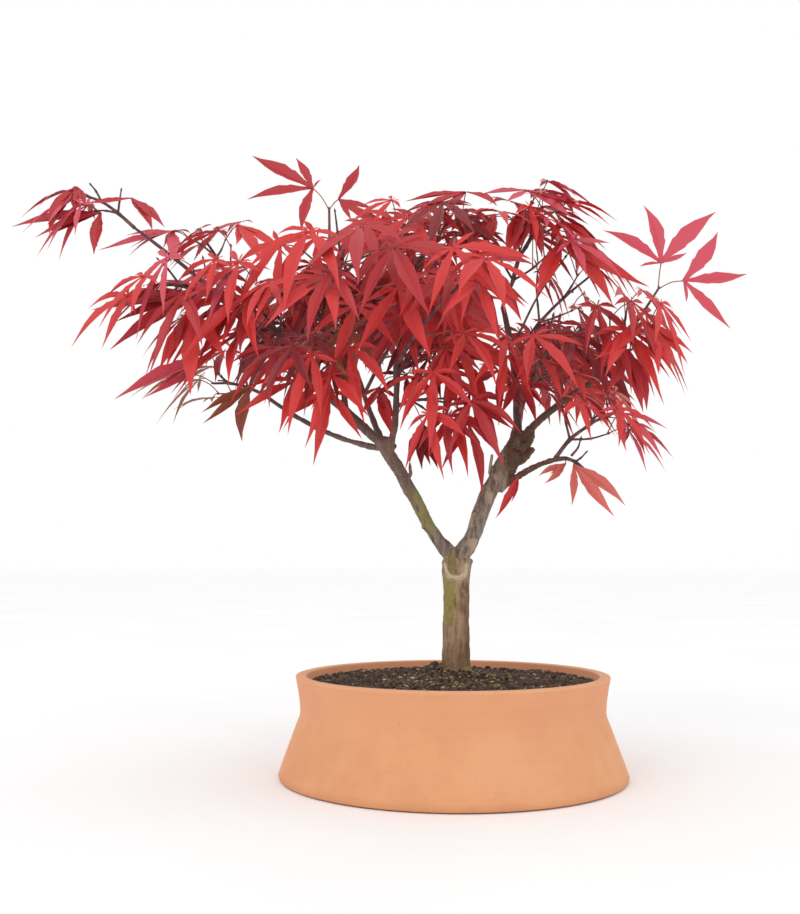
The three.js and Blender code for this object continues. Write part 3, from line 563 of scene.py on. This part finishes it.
# How a mass grows: pairs of shoots on its stem, their length, the leaves' size, how much they hang, their tilt
# and facing, the share of shoots with a leaf at the middle, the first pair's roll, and the seed.
HABIT = ("pairs", "shoot", "leaf_size", "hang", "tilt", "facing", "middle", "roll", "seed")
# Name, limb and share of it where the stem starts, stem's tip, middle and half sizes of the reach, the habit,
# the hues of its sprays in turn, and the share of its places for finer twigs that bear one.
MASSES = [
    ("far_left_leaves", "left_tip_limb", 1, (-306, -14, 476), (-302, -10, 455), (70, 45, 28),
     (2, 20, 44, 1.2, 50, (-.4, -.9), .8, 0, 21), "spcp", 0),
    ("upper_left_leaves", "left_leader", .86, (-210, 15, 446), (-205, 10, 438), (88, 50, 36),
     (2, 30, 48, .5, 25, (-.4, -.8), .5, 0, 63), "scpp", 0),
    ("left_leaves", "left_leader", .95, (-232, -50, 392), (-216, -38, 355), (82, 62, 60),
     (3, 32, 58, .6, 50, (-.3, -1), .9, 0, 112), "sscpc", 0),
    ("shoulder_leaves", "left_leader", .5, (-175, -60, 388), (-166, -50, 365), (54, 52, 56),
     (2, 26, 54, .8, 50, (-.3, -1), .9, 0, 108), "scsp", .2),
    ("low_left_leaves", "left_low_limb", 1, (-205, 40, 326), (-200, 25, 318), (78, 50, 38),
     (2, 26, 46, .6, 35, (-.4, -.7), .6, 0, 98), "cbpbs", 0),
    ("inner_left_leaves", "left_leader", .3, (-112, -70, 322), (-115, -50, 306), (58, 55, 48),
     (2, 28, 52, .9, 60, (-.2, -1), .8, 0, 73), "scdsb", .1),
    ("front_left_leaves", "left_upright", .7, (-85, -95, 405), (-78, -80, 385), (88, 70, 56),
     (3, 42, 59, .9, 60, (-.1, -1), .9, 0, 85), "scscd", 0),
    ("top_left_sprig", "left_upright", 1, (-103, 4, 470), (-118, 4, 484), (66, 40, 44),
     (0, 14, 54, 0, 84, (0, -1), 0, -90, 9), "", 0),
    ("crown_left_leaves", "middle_upright", 1, (-15, 10, 440), (-25, 5, 435), (76, 60, 50),
     (3, 38, 52, .5, 45, (.1, -1), .8, 0, 66), "scscd", .35),
    ("crown_right_leaves", "right_upright", 1, (78, 10, 462), (80, 5, 446), (76, 58, 48),
     (3, 38, 54, .35, 28, (.4, -.8), .8, 0, 36), "spcsp", .3),
    ("right_hanging_leaves", "right_upright", .6, (120, 20, 415), (128, 12, 410), (46, 45, 42),
     (2, 28, 42, .8, 50, (.6, -.6), .5, 0, 71), "psc", 0),
    ("right_sprig", "right_side", 1, (168, -30, 392), (186, -30, 414), (64, 40, 56),
     (0, 14, 58, 0, 80, (0, -1), 0, 0, 69), "", 0),
    ("right_leaves", "right_side", .85, (145, -45, 362), (142, -35, 338), (62, 60, 48),
     (3, 32, 52, .8, 55, (.4, -.9), .8, 0, 18), "scpsc", 0),
    ("middle_right_leaves", "right_upright", .15, (75, -45, 338), (66, -35, 330), (60, 50, 38),
     (2, 30, 48, .6, 45, (.2, -1), .7, 0, 20), "scdsc", .25),
    ("lower_right_leaves", "right_low", .85, (118, -50, 285), (118, -45, 280), (54, 50, 36),
     (2, 28, 42, .7, 50, (.4, -.9), .5, 0, 65), "pcmsc", .1),
    ("low_right_sprig", "right_low", 1, (106, -24, 246), (95, -22, 232), (54, 40, 30),
     (1, 14, 38, .8, 60, (.3, -1), .5, 0, 116), "", 0),
    ("low_middle_leaves", "left_inner_limb", .6, (-8, -50, 296), (-4, -40, 274), (48, 42, 42),
     (2, 28, 44, 1.2, 65, (0, -1), .5, 0, 115), "scscd", 0),
    ("middle_leaves", "left_inner_limb", .9, (-12, -30, 352), (-12, -15, 345), (58, 50, 60),
     (3, 30, 46, .6, 60, (0, -1), .6, 0, 50), "scdcs", .3),
    ("front_leaves", "left_inner_limb", 1, (5, -120, 375), (5, -115, 365), (58, 50, 48),
     (2, 30, 49, .9, 60, (.1, -1), .6, 0, 38), "scs", 0),
    # The masses at the back take maroon in two of every five sprays: painted shade for the back of the crown.
    ("rear_left_leaves", "rear_left_limb", 1, (-125, 125, 405), (-118, 112, 395), (90, 72, 66),
     (3, 44, 54, .8, 50, (-.5, .9), .6, 0, 52), "ccdds", .6),
    ("rear_leaves", "rear_left_limb", .8, (-10, 120, 430), (-8, 108, 425), (85, 68, 60),
     (3, 44, 54, .8, 50, (.1, 1), .6, 0, 1), "ccdds", .6),
    ("rear_right_leaves", "rear_right_limb", 1, (122, 128, 352), (112, 112, 352), (78, 70, 44),
     (3, 42, 52, .8, 50, (.6, .9), .6, 0, 54), "ccdds", .6),
]
# Each lobe's degrees from the middle one, and its share of the leaf's size.
LOBES = [(-100, .46), (-50, .86), (0, 1), (50, .86), (100, .46)]
SLACK = 12
TRIES = 6
LIMB_GAP, LEAF_GAP, FINE_LEAF_GAP = 1.2, 3, 1.8
STEM_ARCH = .32
SHOOT_ANGLE = 48
END_LEAF_SHARE = .35
FINER_PLACES = (.35, .75)
FINER_LEAF = .8

obstacles = []
for path in paths.values():
    for k in range(4):
        thick = path[3][0] + (path[3][1] - path[3][0]) * k / 4
        obstacles.append((along_path(path, k / 4), along_path(path, (k + 1) / 4), thick))
obstacles.append((np.array((3., 0, 77)), TRUNK_TOP, 11))
starts, ends, widths = (np.array(column) for column in zip(*obstacles))


def turn(v, axis, angle):
    """A direction turned by an angle about an axis."""
    kept = axis * (axis @ v) * (1 - math.cos(angle))
    return v * math.cos(angle) + np.cross(axis, v) * math.sin(angle) + kept


def square_to(direction):
    """A level direction square to another one."""
    return np.array((1., 0, 0)) if abs(direction @ UP) > .95 else unit(np.cross(direction, UP))


def clear(p, q, margin, a, b, radius):
    """Whether the line from p to q stays clear of every line from a to b by its radius and a margin."""
    d1, d2, r = q - p, b - a, p - a
    dd, e, f, c, g = float(d1 @ d1), (d2 * d2).sum(1), (d2 * r).sum(1), r @ d1, d2 @ d1
    area = dd * e - g * g
    s = np.where(area > 1e-9, np.clip((g * f - c * e) / np.where(area > 1e-9, area, 1), 0, 1), 0.)
    t = (g * s + f) / e
    s = np.where(t < 0, np.clip(-c / dd, 0, 1), np.where(t > 1, np.clip((g - c) / dd, 0, 1), s))
    apart = r + d1 * s[:, None] - d2 * np.clip(t, 0, 1)[:, None]
    return bool((np.sqrt((apart * apart).sum(1)) > radius + margin).all())


def make_leaf(draw, node_at, heading, side, mass, scale=1):
    """A leaf on a stalk to one side of a node: its hinge, the way its middle lobe points, and its face."""
    size = mass["leaf_size"] * (1 + vary(draw, .18)) * scale
    stalk = size * (.33 + .25 * draw())
    out = unit(heading * .8 + side + UP * .35 + jitter(draw, .3, .3, .2))
    hinge = node_at + out * stalk
    radial = np.array((hinge[0], hinge[1], 0)) / max(math.hypot(hinge[0], hinge[1]), 60)
    face = unit(np.array((*mass["facing"], 0)) + radial * .5 + np.array((*jitter(draw, .5, .5), 0)))
    tilt = math.radians(mass["tilt"] + vary(draw, 20))
    normal = unit(UP * math.cos(tilt) + face * math.sin(tilt) + jitter(draw, .2, .2, .1))
    want = radial * .8 + out * .7 - UP * mass["hang"]
    axis = unit(want - normal * (want @ normal))
    sag = .18 * (1 + vary(draw, .4))
    draw()  # the CAD source draws a tint here, so the next leaf's numbers stay in step with it
    return {"node": node_at, "hinge": hinge, "axis": axis, "normal": normal, "size": size, "sag": sag}


def lobe_point(leaf, degrees, share, way=1):
    """The point at a share of the way along a lobe's midrib."""
    across = np.cross(leaf["normal"], leaf["axis"])
    reach = leaf["size"] * share * way
    angle = math.radians(degrees)
    direction = leaf["axis"] * math.cos(angle) + across * math.sin(angle)
    return leaf["hinge"] + direction * reach - UP * leaf["sag"] * reach * reach / leaf["size"]


def inside(mass, point):
    """Whether a point is within the rounded box that a mass may fill."""
    return float((((point - mass["centre"]) / (mass["reach"] + SLACK)) ** 4).sum()) <= 1


def fits(mass, leaf, placed, margin):
    """Places a leaf if it stays in its mass and clear of limbs and placed leaves, and says whether it did."""
    tips = [lobe_point(leaf, degrees, share) for degrees, share in LOBES]
    if not all(inside(mass, p) for p in [leaf["hinge"]] + tips):
        return False
    if not all(clear(leaf["hinge"], p, LIMB_GAP, starts, ends, widths) for p in tips):
        return False
    if placed:
        a = np.array([hinge for hinge, others in placed for _ in others])
        b = np.array([tip for _, others in placed for tip in others])
        if not all(clear(leaf["hinge"], p, margin, a, b, 0) for p in tips):
            return False
    placed.append((leaf["hinge"], tips))
    return True


def add_leaf(draw, node_at, heading, side, mass, spray, margin=LEAF_GAP, scale=1):
    """Tries a few leaves at a node and keeps the first that fits."""
    for _ in range(TRIES):
        leaf = make_leaf(draw, node_at, heading, side, mass, scale)
        if fits(mass, leaf, mass["placed"], margin):
            leaf["spray"], leaf["limp"] = spray, min(.15 + mass["hang"], 1)
            mass["leaves"].append(leaf)
            return


def grow(mass):
    """The stem, shoots and leaves of a mass by the seeded rule, in the order of the CAD source."""
    draw = repeatable(mass["seed"])
    start, end = along_path(paths[mass["limb"]], mass["along"]), mass["end"]
    length, steps = math.dist(start, end), mass["pairs"] + 1
    points = []
    for share in (i / steps for i in range(steps + 1)):
        points.append(start + (end - start) * share + UP * (STEM_ARCH * length * share * (1 - share)))
    for point in points[1:-1]:
        point += jitter(draw, .06, .06, .04) * (length / steps)
    mass["twigs"] = [(points, (1.8, 1), 0)]
    span = unit(end - start)
    first = square_to(span)
    roll = mass["roll"] + vary(draw, 20)
    for k in range(1, steps + 1):
        heading = unit(points[k] - points[k - 1])
        side = turn(unit(first - heading * (first @ heading)), heading, math.radians(roll + 90 * k))
        if k == steps:
            add_leaf(draw, points[k], heading, side, mass, 0)
            add_leaf(draw, points[k], heading, -side, mass, 0)
            if mass["pairs"] > 0:
                add_leaf(draw, points[k], heading, heading * .6, mass, 0)
            break
        for sign in (1, -1):
            long = mass["shoot"] * (1.1 - .5 * k / steps) * (1 + vary(draw, .25))
            angle = math.radians(SHOOT_ANGLE + vary(draw, 14))
            way = unit(heading * math.cos(angle) + side * (sign * math.sin(angle)) + UP * .15)
            tip = points[k] + way * long
            bend = points[k] + way * (long * .55) + UP * (vary(draw, .08) * long)
            across = square_to(way)
            pair = turn(across, way, math.radians(vary(draw, 40)))
            has_middle = draw() < mass["middle"]
            middle_side = turn(across, way, math.radians(90 + vary(draw, 40))) * (1 if draw() < .5 else -1)
            has_end = draw() < END_LEAF_SHARE
            if not (inside(mass, tip) and clear(bend, tip, LIMB_GAP, starts, ends, widths)):
                continue
            spray = len(mass["twigs"])
            mass["twigs"].append(([points[k], bend, tip], (1.1, .6), spray))
            add_leaf(draw, tip, way, pair, mass, spray)
            add_leaf(draw, tip, way, -pair, mass, spray)
            if has_middle:
                add_leaf(draw, bend, way, middle_side, mass, spray)
            if has_end:
                add_leaf(draw, tip, way, way * .6, mass, spray)


def grow_finer(mass):
    """Twiglets off the stem and the shoots, each with smaller leaves, inside the same reach."""
    draw = repeatable(mass["seed"] + 1000)
    for points, (thick, _), spray in list(mass["twigs"]):
        for k in range(len(points) - 1):
            for share in FINER_PLACES:
                if draw() > mass["finer"]:
                    continue
                root = points[k] + (points[k + 1] - points[k]) * share
                heading = unit(points[k + 1] - points[k])
                side = turn(square_to(heading), heading, draw() * 2 * math.pi)
                way = unit(heading * .6 + side + UP * .2)
                long = mass["shoot"] * (.28 + .3 * draw())
                tip = root + way * long
                if not (inside(mass, tip) and clear(root + way * 2, tip, .6, starts, ends, widths)):
                    continue
                pair = turn(square_to(way), way, draw() * math.pi)
                before = len(mass["leaves"])
                add_leaf(draw, tip, way, pair, mass, spray, FINE_LEAF_GAP, FINER_LEAF)
                add_leaf(draw, tip, way, -pair, mass, spray, FINE_LEAF_GAP, FINER_LEAF)
                if len(mass["leaves"]) > before:
                    middle_at = root + way * (long * .5) + UP * (vary(draw, .06) * long)
                    mass["twigs"].append(([root, middle_at, tip], (.7 if thick > 1.2 else .6, .45), spray))


class Mesh:
    """Points and faces of many small things that are joined in one mesh."""

    def __init__(self):
        self.points, self.faces = [], []

    def add(self, points, faces):
        """Adds points, and faces that count from the first of them."""
        first = len(self.points)
        self.points += points
        self.faces += [tuple(first + c for c in face) for face in faces]

    def twig(self, line, radii, sides=6):
        """A round tapering twig along a line, closed at its ends."""
        points, heading, across = [], None, None
        for k, point in enumerate(line):
            heading = unit(line[min(k + 1, len(line) - 1)] - line[max(k - 1, 0)])
            across = square_to(heading) if across is None else unit(across - heading * (across @ heading))
            up = np.cross(heading, across)
            for j in range(sides):
                angle = 2 * math.pi * j / sides
                points.append(point + (across * math.cos(angle) + up * math.sin(angle)) * radii[k])
        faces = []
        for near in range(0, (len(line) - 1) * sides, sides):
            far = near + sides
            for j in range(sides):
                k = (j + 1) % sides
                faces.append((near + j, near + k, far + k, far + j))
        faces += [tuple(range(sides))[::-1], tuple((len(line) - 1) * sides + j for j in range(sides))]
        self.add(points, faces)


def curve_through(points, steps=4):
    """A smooth line through points, with a few steps between each two."""
    line = [points[0] * 2 - points[1]] + list(points) + [points[-1] * 2 - points[-2]]
    out = []
    for a, b, c, d in zip(line, line[1:], line[2:], line[3:]):
        for i in range(steps):
            t = i / steps
            bend = 2 * a - 5 * b + 4 * c - d
            out.append(.5 * (2 * b + (c - a) * t + bend * t * t + (3 * b - 3 * c + d - a) * t ** 3))
    return out + [points[-1]]


masses = []
for name, limb, share, end, centre, reach, habit, hues, finer in MASSES:
    mass = {"name": name, "limb": limb, "along": share, "hues": hues, "finer": finer}
    mass.update(end=np.array(end, float), centre=np.array(centre, float), reach=np.array(reach, float))
    mass.update(leaves=[], placed=[])
    mass.update(zip(HABIT, habit))
    grow(mass)
    grow_finer(mass)
    masses.append(mass)

# Leaves that show clearly at the edge of the crown or in its gaps are set one by one on the nearest twig:
# hue, the place where the blade starts, its face, its size, then each lobe as degrees from upright and share
# of the size. The three sprigs bear no others.
SINGLE_LEAVES = {
    "top_left_sprig": [
        ("c", (-117, 4, 489), (0, -.9, .43), 66, [(60, 1), (100, .9), (20, .65), (165, .75), (-25, .2)]),
        ("c", (-95, 6, 480), (.1, -.9, .43), 51, [(-30, 1), (-110, .65), (-135, .9), (-155, .55)]),
    ],
    "right_sprig": [
        ("p", (171, -30, 414), (0, -.95, .3), 72, [(5, .9), (-45, 1), (50, .75), (95, .25), (-70, .35)]),
        ("p", (188, -34, 398), (.1, -.95, .3), 69, [(-40, 1), (-85, .8), (-140, .8), (-170, .3)]),
    ],
    "low_right_sprig": [
        ("m", (98, -24, 249), (0, -.95, .3), 53, [(-180, .65), (-125, .95), (-150, 1)]),
        ("m", (92, -20, 250), (.2, -.8, .5), 30, [(110, 1), (130, .65), (135, 1)]),
        ("s", (55, -8, 241), (-.5, -.8, .2), 38, [(155, 1), (150, .55), (-180, .55)]),
    ],
    "far_left_leaves": [
        ("c", (-314, -14, 484), (0, -.8, .6), 64, [(150, .6), (165, 1), (-175, .5), (-160, .55), (-150, .45)]),
        ("c", (-268, -14, 474), (.1, -.8, .6), 49, [(110, .8), (-155, .55), (-135, 1), (-145, 1)]),
        ("c", (-292, -18, 460), (-.1, -.8, .6), 76, [(95, 1), (120, .6), (120, .75), (-175, .65), (-170, .7)]),
    ],
    "upper_left_leaves": [
        ("p", (-236, 0, 450), (0, -.65, .76), 60, [(125, 1), (90, .7), (135, .5), (-165, .9)]),
        ("s", (-181, 4, 457), (.2, -.65, .76), 59, [(-140, 1), (-125, .65), (-165, 1), (-180, .65)]),
    ],
    "left_leaves": [
        ("c", (-200, -40, 386), (-.1, -.8, .6), 99, [(100, 1), (130, .85), (105, .75), (60, .5)]),
        ("s", (-206, -62, 366), (-.1, -.9, .4), 76, [(155, .75), (165, .7), (-175, 1), (-145, .75)]),
    ],
    "low_left_leaves": [
        ("b", (-171, 20, 320), (-.1, -.8, .6), 57, [(130, .85), (145, .95), (-180, 1)]),
        ("p", (-204, 20, 346), (-.1, -.8, .6), 84, [(120, 1), (135, .75)]),
    ],
    "crown_right_leaves": [
        ("p", (66, -2, 485), (.1, -.6, .8), 67, [(-135, 1), (-160, .95), (110, .7), (140, .6)]),
        ("s", (97, 6, 461), (.2, -.8, .5), 51, [(-140, 1), (-130, .7), (145, .7), (-175, .75)]),
        ("s", (39, 4, 466), (-.1, -.8, .6), 58, [(150, 1), (110, .6), (175, .75)]),
        ("c", (63, 2, 470), (.1, -.8, .6), 73, [(160, 1), (175, .95), (-140, .55), (-170, .8)]),
    ],
    "right_hanging_leaves": [
        ("s", (95, 0, 442), (.1, -.8, .5), 82, [(155, .85), (-160, .55), (-135, 1), (-150, .95)]),
    ],
    "right_leaves": [
        ("s", (149, -60, 358), (.1, -.8, .6), 67, [(-130, .65), (-145, .75), (-160, .8), (-180, .9), (140, 1)]),
        ("c", (138, -50, 338), (.1, -.9, .4), 59, [(-165, 1), (-180, .9), (155, .75)]),
    ],
    "crown_left_leaves": [
        ("c", (13, -6, 482), (-.1, -.6, .8), 62, [(105, .9), (140, .85), (165, .85), (-130, .7)]),
    ],
    "low_middle_leaves": [
        ("d", (-24, -20, 282), (0, -.8, .6), 48, [(155, .85), (170, 1), (-180, .9), (-170, 1), (-155, .85)]),
    ],
    "middle_leaves": [
        ("s", (-60, -12, 314), (0, -.8, .6), 51, [(-175, 1), (165, .7), (-160, .8), (125, .4), (-125, .45)]),
    ],
}
for mass in masses:
    if mass["name"].endswith("sprig"):
        mass["leaves"] = []
    nodes = [point for points, _, _ in mass["twigs"] for point in points]
    for hue, hinge, face, size, lobes in SINGLE_LEAVES.get(mass["name"], []):
        hinge, normal = np.array(hinge, float), unit(np.array(face, float))
        nearest = min(nodes, key=lambda point: float((point - hinge) @ (point - hinge)))
        mass["leaves"].append({
            "node": nearest, "hinge": hinge, "axis": unit(UP - normal * (UP @ normal)), "normal": normal,
            "size": size, "sag": .02, "limp": .2, "lobes": lobes, "hue": hue})

# Bare twigs that end in a bud, seen in the gaps of the crown.
BARE_TWIGS = [
    [(78, -8, 330), (80, -9, 352), (84.9, -10, 374)],
    [(-39, -8, 341), (-42, -9, 352), (-43.3, -8, 363)],
    [(54, 18, 412), (58, 16, 428), (63.6, 15, 445)],
    [(58, 15, 362), (76, 12, 398), (98.8, 10, 430)],
    [(96, -24, 256), (101, -26, 262), (103, -27, 268)],
]
twigs, stalks, buds = Mesh(), Mesh(), Mesh()


def bud(tip, heading, size):
    """A small pointed bud at the end of a twig."""
    line = [tip + heading * size * share for share in (-.3, .35, 1, 1.9)]
    buds.twig(line, (size * .3, size * .55, size * .42, size * .06), 6)


for mass in masses:
    for points, (thick, thin), _ in mass["twigs"]:
        line = curve_through(points)
        radii = [thick + (thin - thick) * k / (len(line) - 1) for k in range(len(line))]
        radii = [r * (1.3 if k % 4 == 0 and 0 < k < len(line) - 1 else 1) for k, r in enumerate(radii)]
        twigs.twig(line, radii)
        bud(line[-1], unit(line[-1] - line[-2]), 1.7)
    for leaf in mass["leaves"]:
        span = leaf["hinge"] - leaf["node"]
        arch = leaf["node"] + span * .5 + UP * (.1 * math.sqrt(float(span @ span)))
        line = curve_through([leaf["node"], arch, leaf["hinge"]], 3)
        stalks.twig(line, [.75] + [.46] * (len(line) - 2) + [.62], 5)
for points in BARE_TWIGS:
    line = curve_through([np.array(p, float) for p in points])
    twigs.twig(line, [1.2 - .6 * k / (len(line) - 1) for k in range(len(line))])
    bud(line[-1], unit(line[-1] - line[-2]), 2.2)

for name, mesh, dark, light in (("twigs", twigs, srgb(74, 42, 46), srgb(122, 84, 82)),
                                ("leaf_stalks", stalks, srgb(128, 40, 48), srgb(158, 84, 66)),
                                ("buds", buds, srgb(96, 34, 38), srgb(148, 66, 58))):
    piece = mesh_object(name, mesh.points, mesh.faces)
    stuff = Material(name)
    tone = stuff.noise(8, 3)
    stuff.set(Base_Color=tone.rise(.36, .64).between(dark, light), Roughness=.5 + stuff.noise(1.6) * .25)
    stuff.relief(stuff.noise(1.2, 2), .12)
    stuff.paint(piece)
    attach(piece, "root")
    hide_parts(*(mass["name"] for mass in masses))
    "bark" if name == "twigs" else "leaves"

# ---- Leaves ----
# Thin star-shaped leaves with long pointed lobes, each lobe folded a little along its midrib and toothed at
# its edge. The leaves of one spray share a colour, and all the leaves of a colour are one mesh.

HUES = {
    "s": ("leaves_scarlet", srgb(204, 48, 47)),
    "c": ("leaves_crimson", srgb(178, 40, 47)),
    # Maroon is partly the leaves' own darker red and partly painted shade: it is dealt most to the masses at
    # the back of the crown and inside it.
    "d": ("leaves_maroon", srgb(132, 30, 36)),
    "p": ("leaves_pink", srgb(204, 72, 88)),
    "b": ("leaves_bronze", srgb(158, 88, 62)),
    "m": ("leaves_salmon", srgb(216, 110, 98)),
}
# Half width of a lobe as a share of its length, at shares of the way along it: the steps back are its teeth.
LOBE_EDGE = [(0, .022), (.17, .044), (.33, .088), (.38, .08), (.5, .1), (.56, .09), (.7, .066), (.85, .026),
             (1, 0)]
BASAL_LOBES = [(-138, .2), (138, .2)]
SHORT_LOBE = .3


def leaf_mesh(mesh, leaf, draw):
    """Adds a leaf: each lobe is two strips that meet in a crease along the midrib."""
    for degrees, share in leaf.get("lobes", LOBES + BASAL_LOBES):
        degrees += vary(draw, 5)
        share *= 1 + vary(draw, .07)
        swing, droop, fold = vary(draw, 9), (.06 + .14 * draw()) * leaf["limp"], .4 + vary(draw, .2)
        edge = LOBE_EDGE if share > SHORT_LOBE else LOBE_EDGE[::3] + [(1, 0)]
        rib = []
        for way, _ in edge:
            sunk = droop * share * leaf["size"] * way ** 3
            rib.append(lobe_point(leaf, degrees + swing * way * way, share, way) - UP * sunk)
        for sign in (1, -1):
            points = []
            for k, (way, wide) in enumerate(edge):
                along = unit(rib[min(k + 1, len(rib) - 1)] - rib[max(k - 1, 0)])
                across = unit(np.cross(leaf["normal"], along)) * sign
                half = wide * share * leaf["size"]
                points += [rib[k], rib[k] + across * half + leaf["normal"] * (half * fold)]
            faces = [(2 * k, 2 * k + 2, 2 * k + 3, 2 * k + 1) for k in range(len(edge) - 2)]
            faces.append((2 * len(edge) - 4, 2 * len(edge) - 2, 2 * len(edge) - 3))
            mesh.add(points, faces if sign < 0 else [face[::-1] for face in faces])


sheets = {hue: Mesh() for hue in HUES}
grown_in = {hue: set() for hue in HUES}
draw = repeatable(31)
for mass in masses:
    sprays = {}
    for leaf in mass["leaves"]:
        hue = leaf.get("hue")
        if hue is None:
            dealt = mass["hues"][(len(sprays) + mass["seed"]) % len(mass["hues"])]
            hue = sprays.setdefault(leaf["spray"], dealt)
        leaf_mesh(sheets[hue], leaf, draw)
        grown_in[hue].add(mass["name"])
for hue, (name, colour) in HUES.items():
    piece = mesh_object(name, sheets[hue].points, sheets[hue].faces)
    blade = Material(name)
    vein = blade.noise(2.4, 3)
    blade.set(Base_Color=colour, Roughness=.4 + vein * .2)
    blade.relief(vein, .25)
    blade.paint(piece)
    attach(piece, "root")
    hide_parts(*sorted(grown_in[hue]))

# ---- Floor and light ----
# A pale floor and an even white studio, with a wide soft light from the upper left and a weaker one from the
# right.

bpy.ops.mesh.primitive_circle_add(vertices=64, radius=30, fill_type="NGON", location=(0, 0, -.0005))
floor = bpy.context.object
floor.name = "floor"
paper = Material("paper")
white = paper.noise(300, 2).rise(.3, .7).between(srgb(250, 250, 250), srgb(253, 253, 253))
paper.set(Base_Color=white, Roughness=.95)
paper.paint(floor)
world = bpy.context.scene.world or bpy.data.worlds.new("studio")
bpy.context.scene.world = world
world.use_nodes = True
world.node_tree.nodes["Background"].inputs["Color"].default_value = (1, 1, 1, 1)
world.node_tree.nodes["Background"].inputs["Strength"].default_value = 1
AIM_AT = np.array((0, 0, .25))
for name, place, power, size in (("key", (-1.2, -1.6, 1.9), 9, 1.6), ("fill", (1.6, -1.4, 1.1), 2.5, 1.8)):
    bpy.ops.object.light_add(type="AREA", location=place)
    light = bpy.context.object
    light.name = name
    light.data.energy = power
    light.data.size = size
    aim = AIM_AT - np.array(place)
    tip, swing = math.acos(-aim[2] / np.linalg.norm(aim)), math.atan2(aim[1], aim[0]) - math.pi / 2
    light.rotation_euler = (tip, 0, swing)
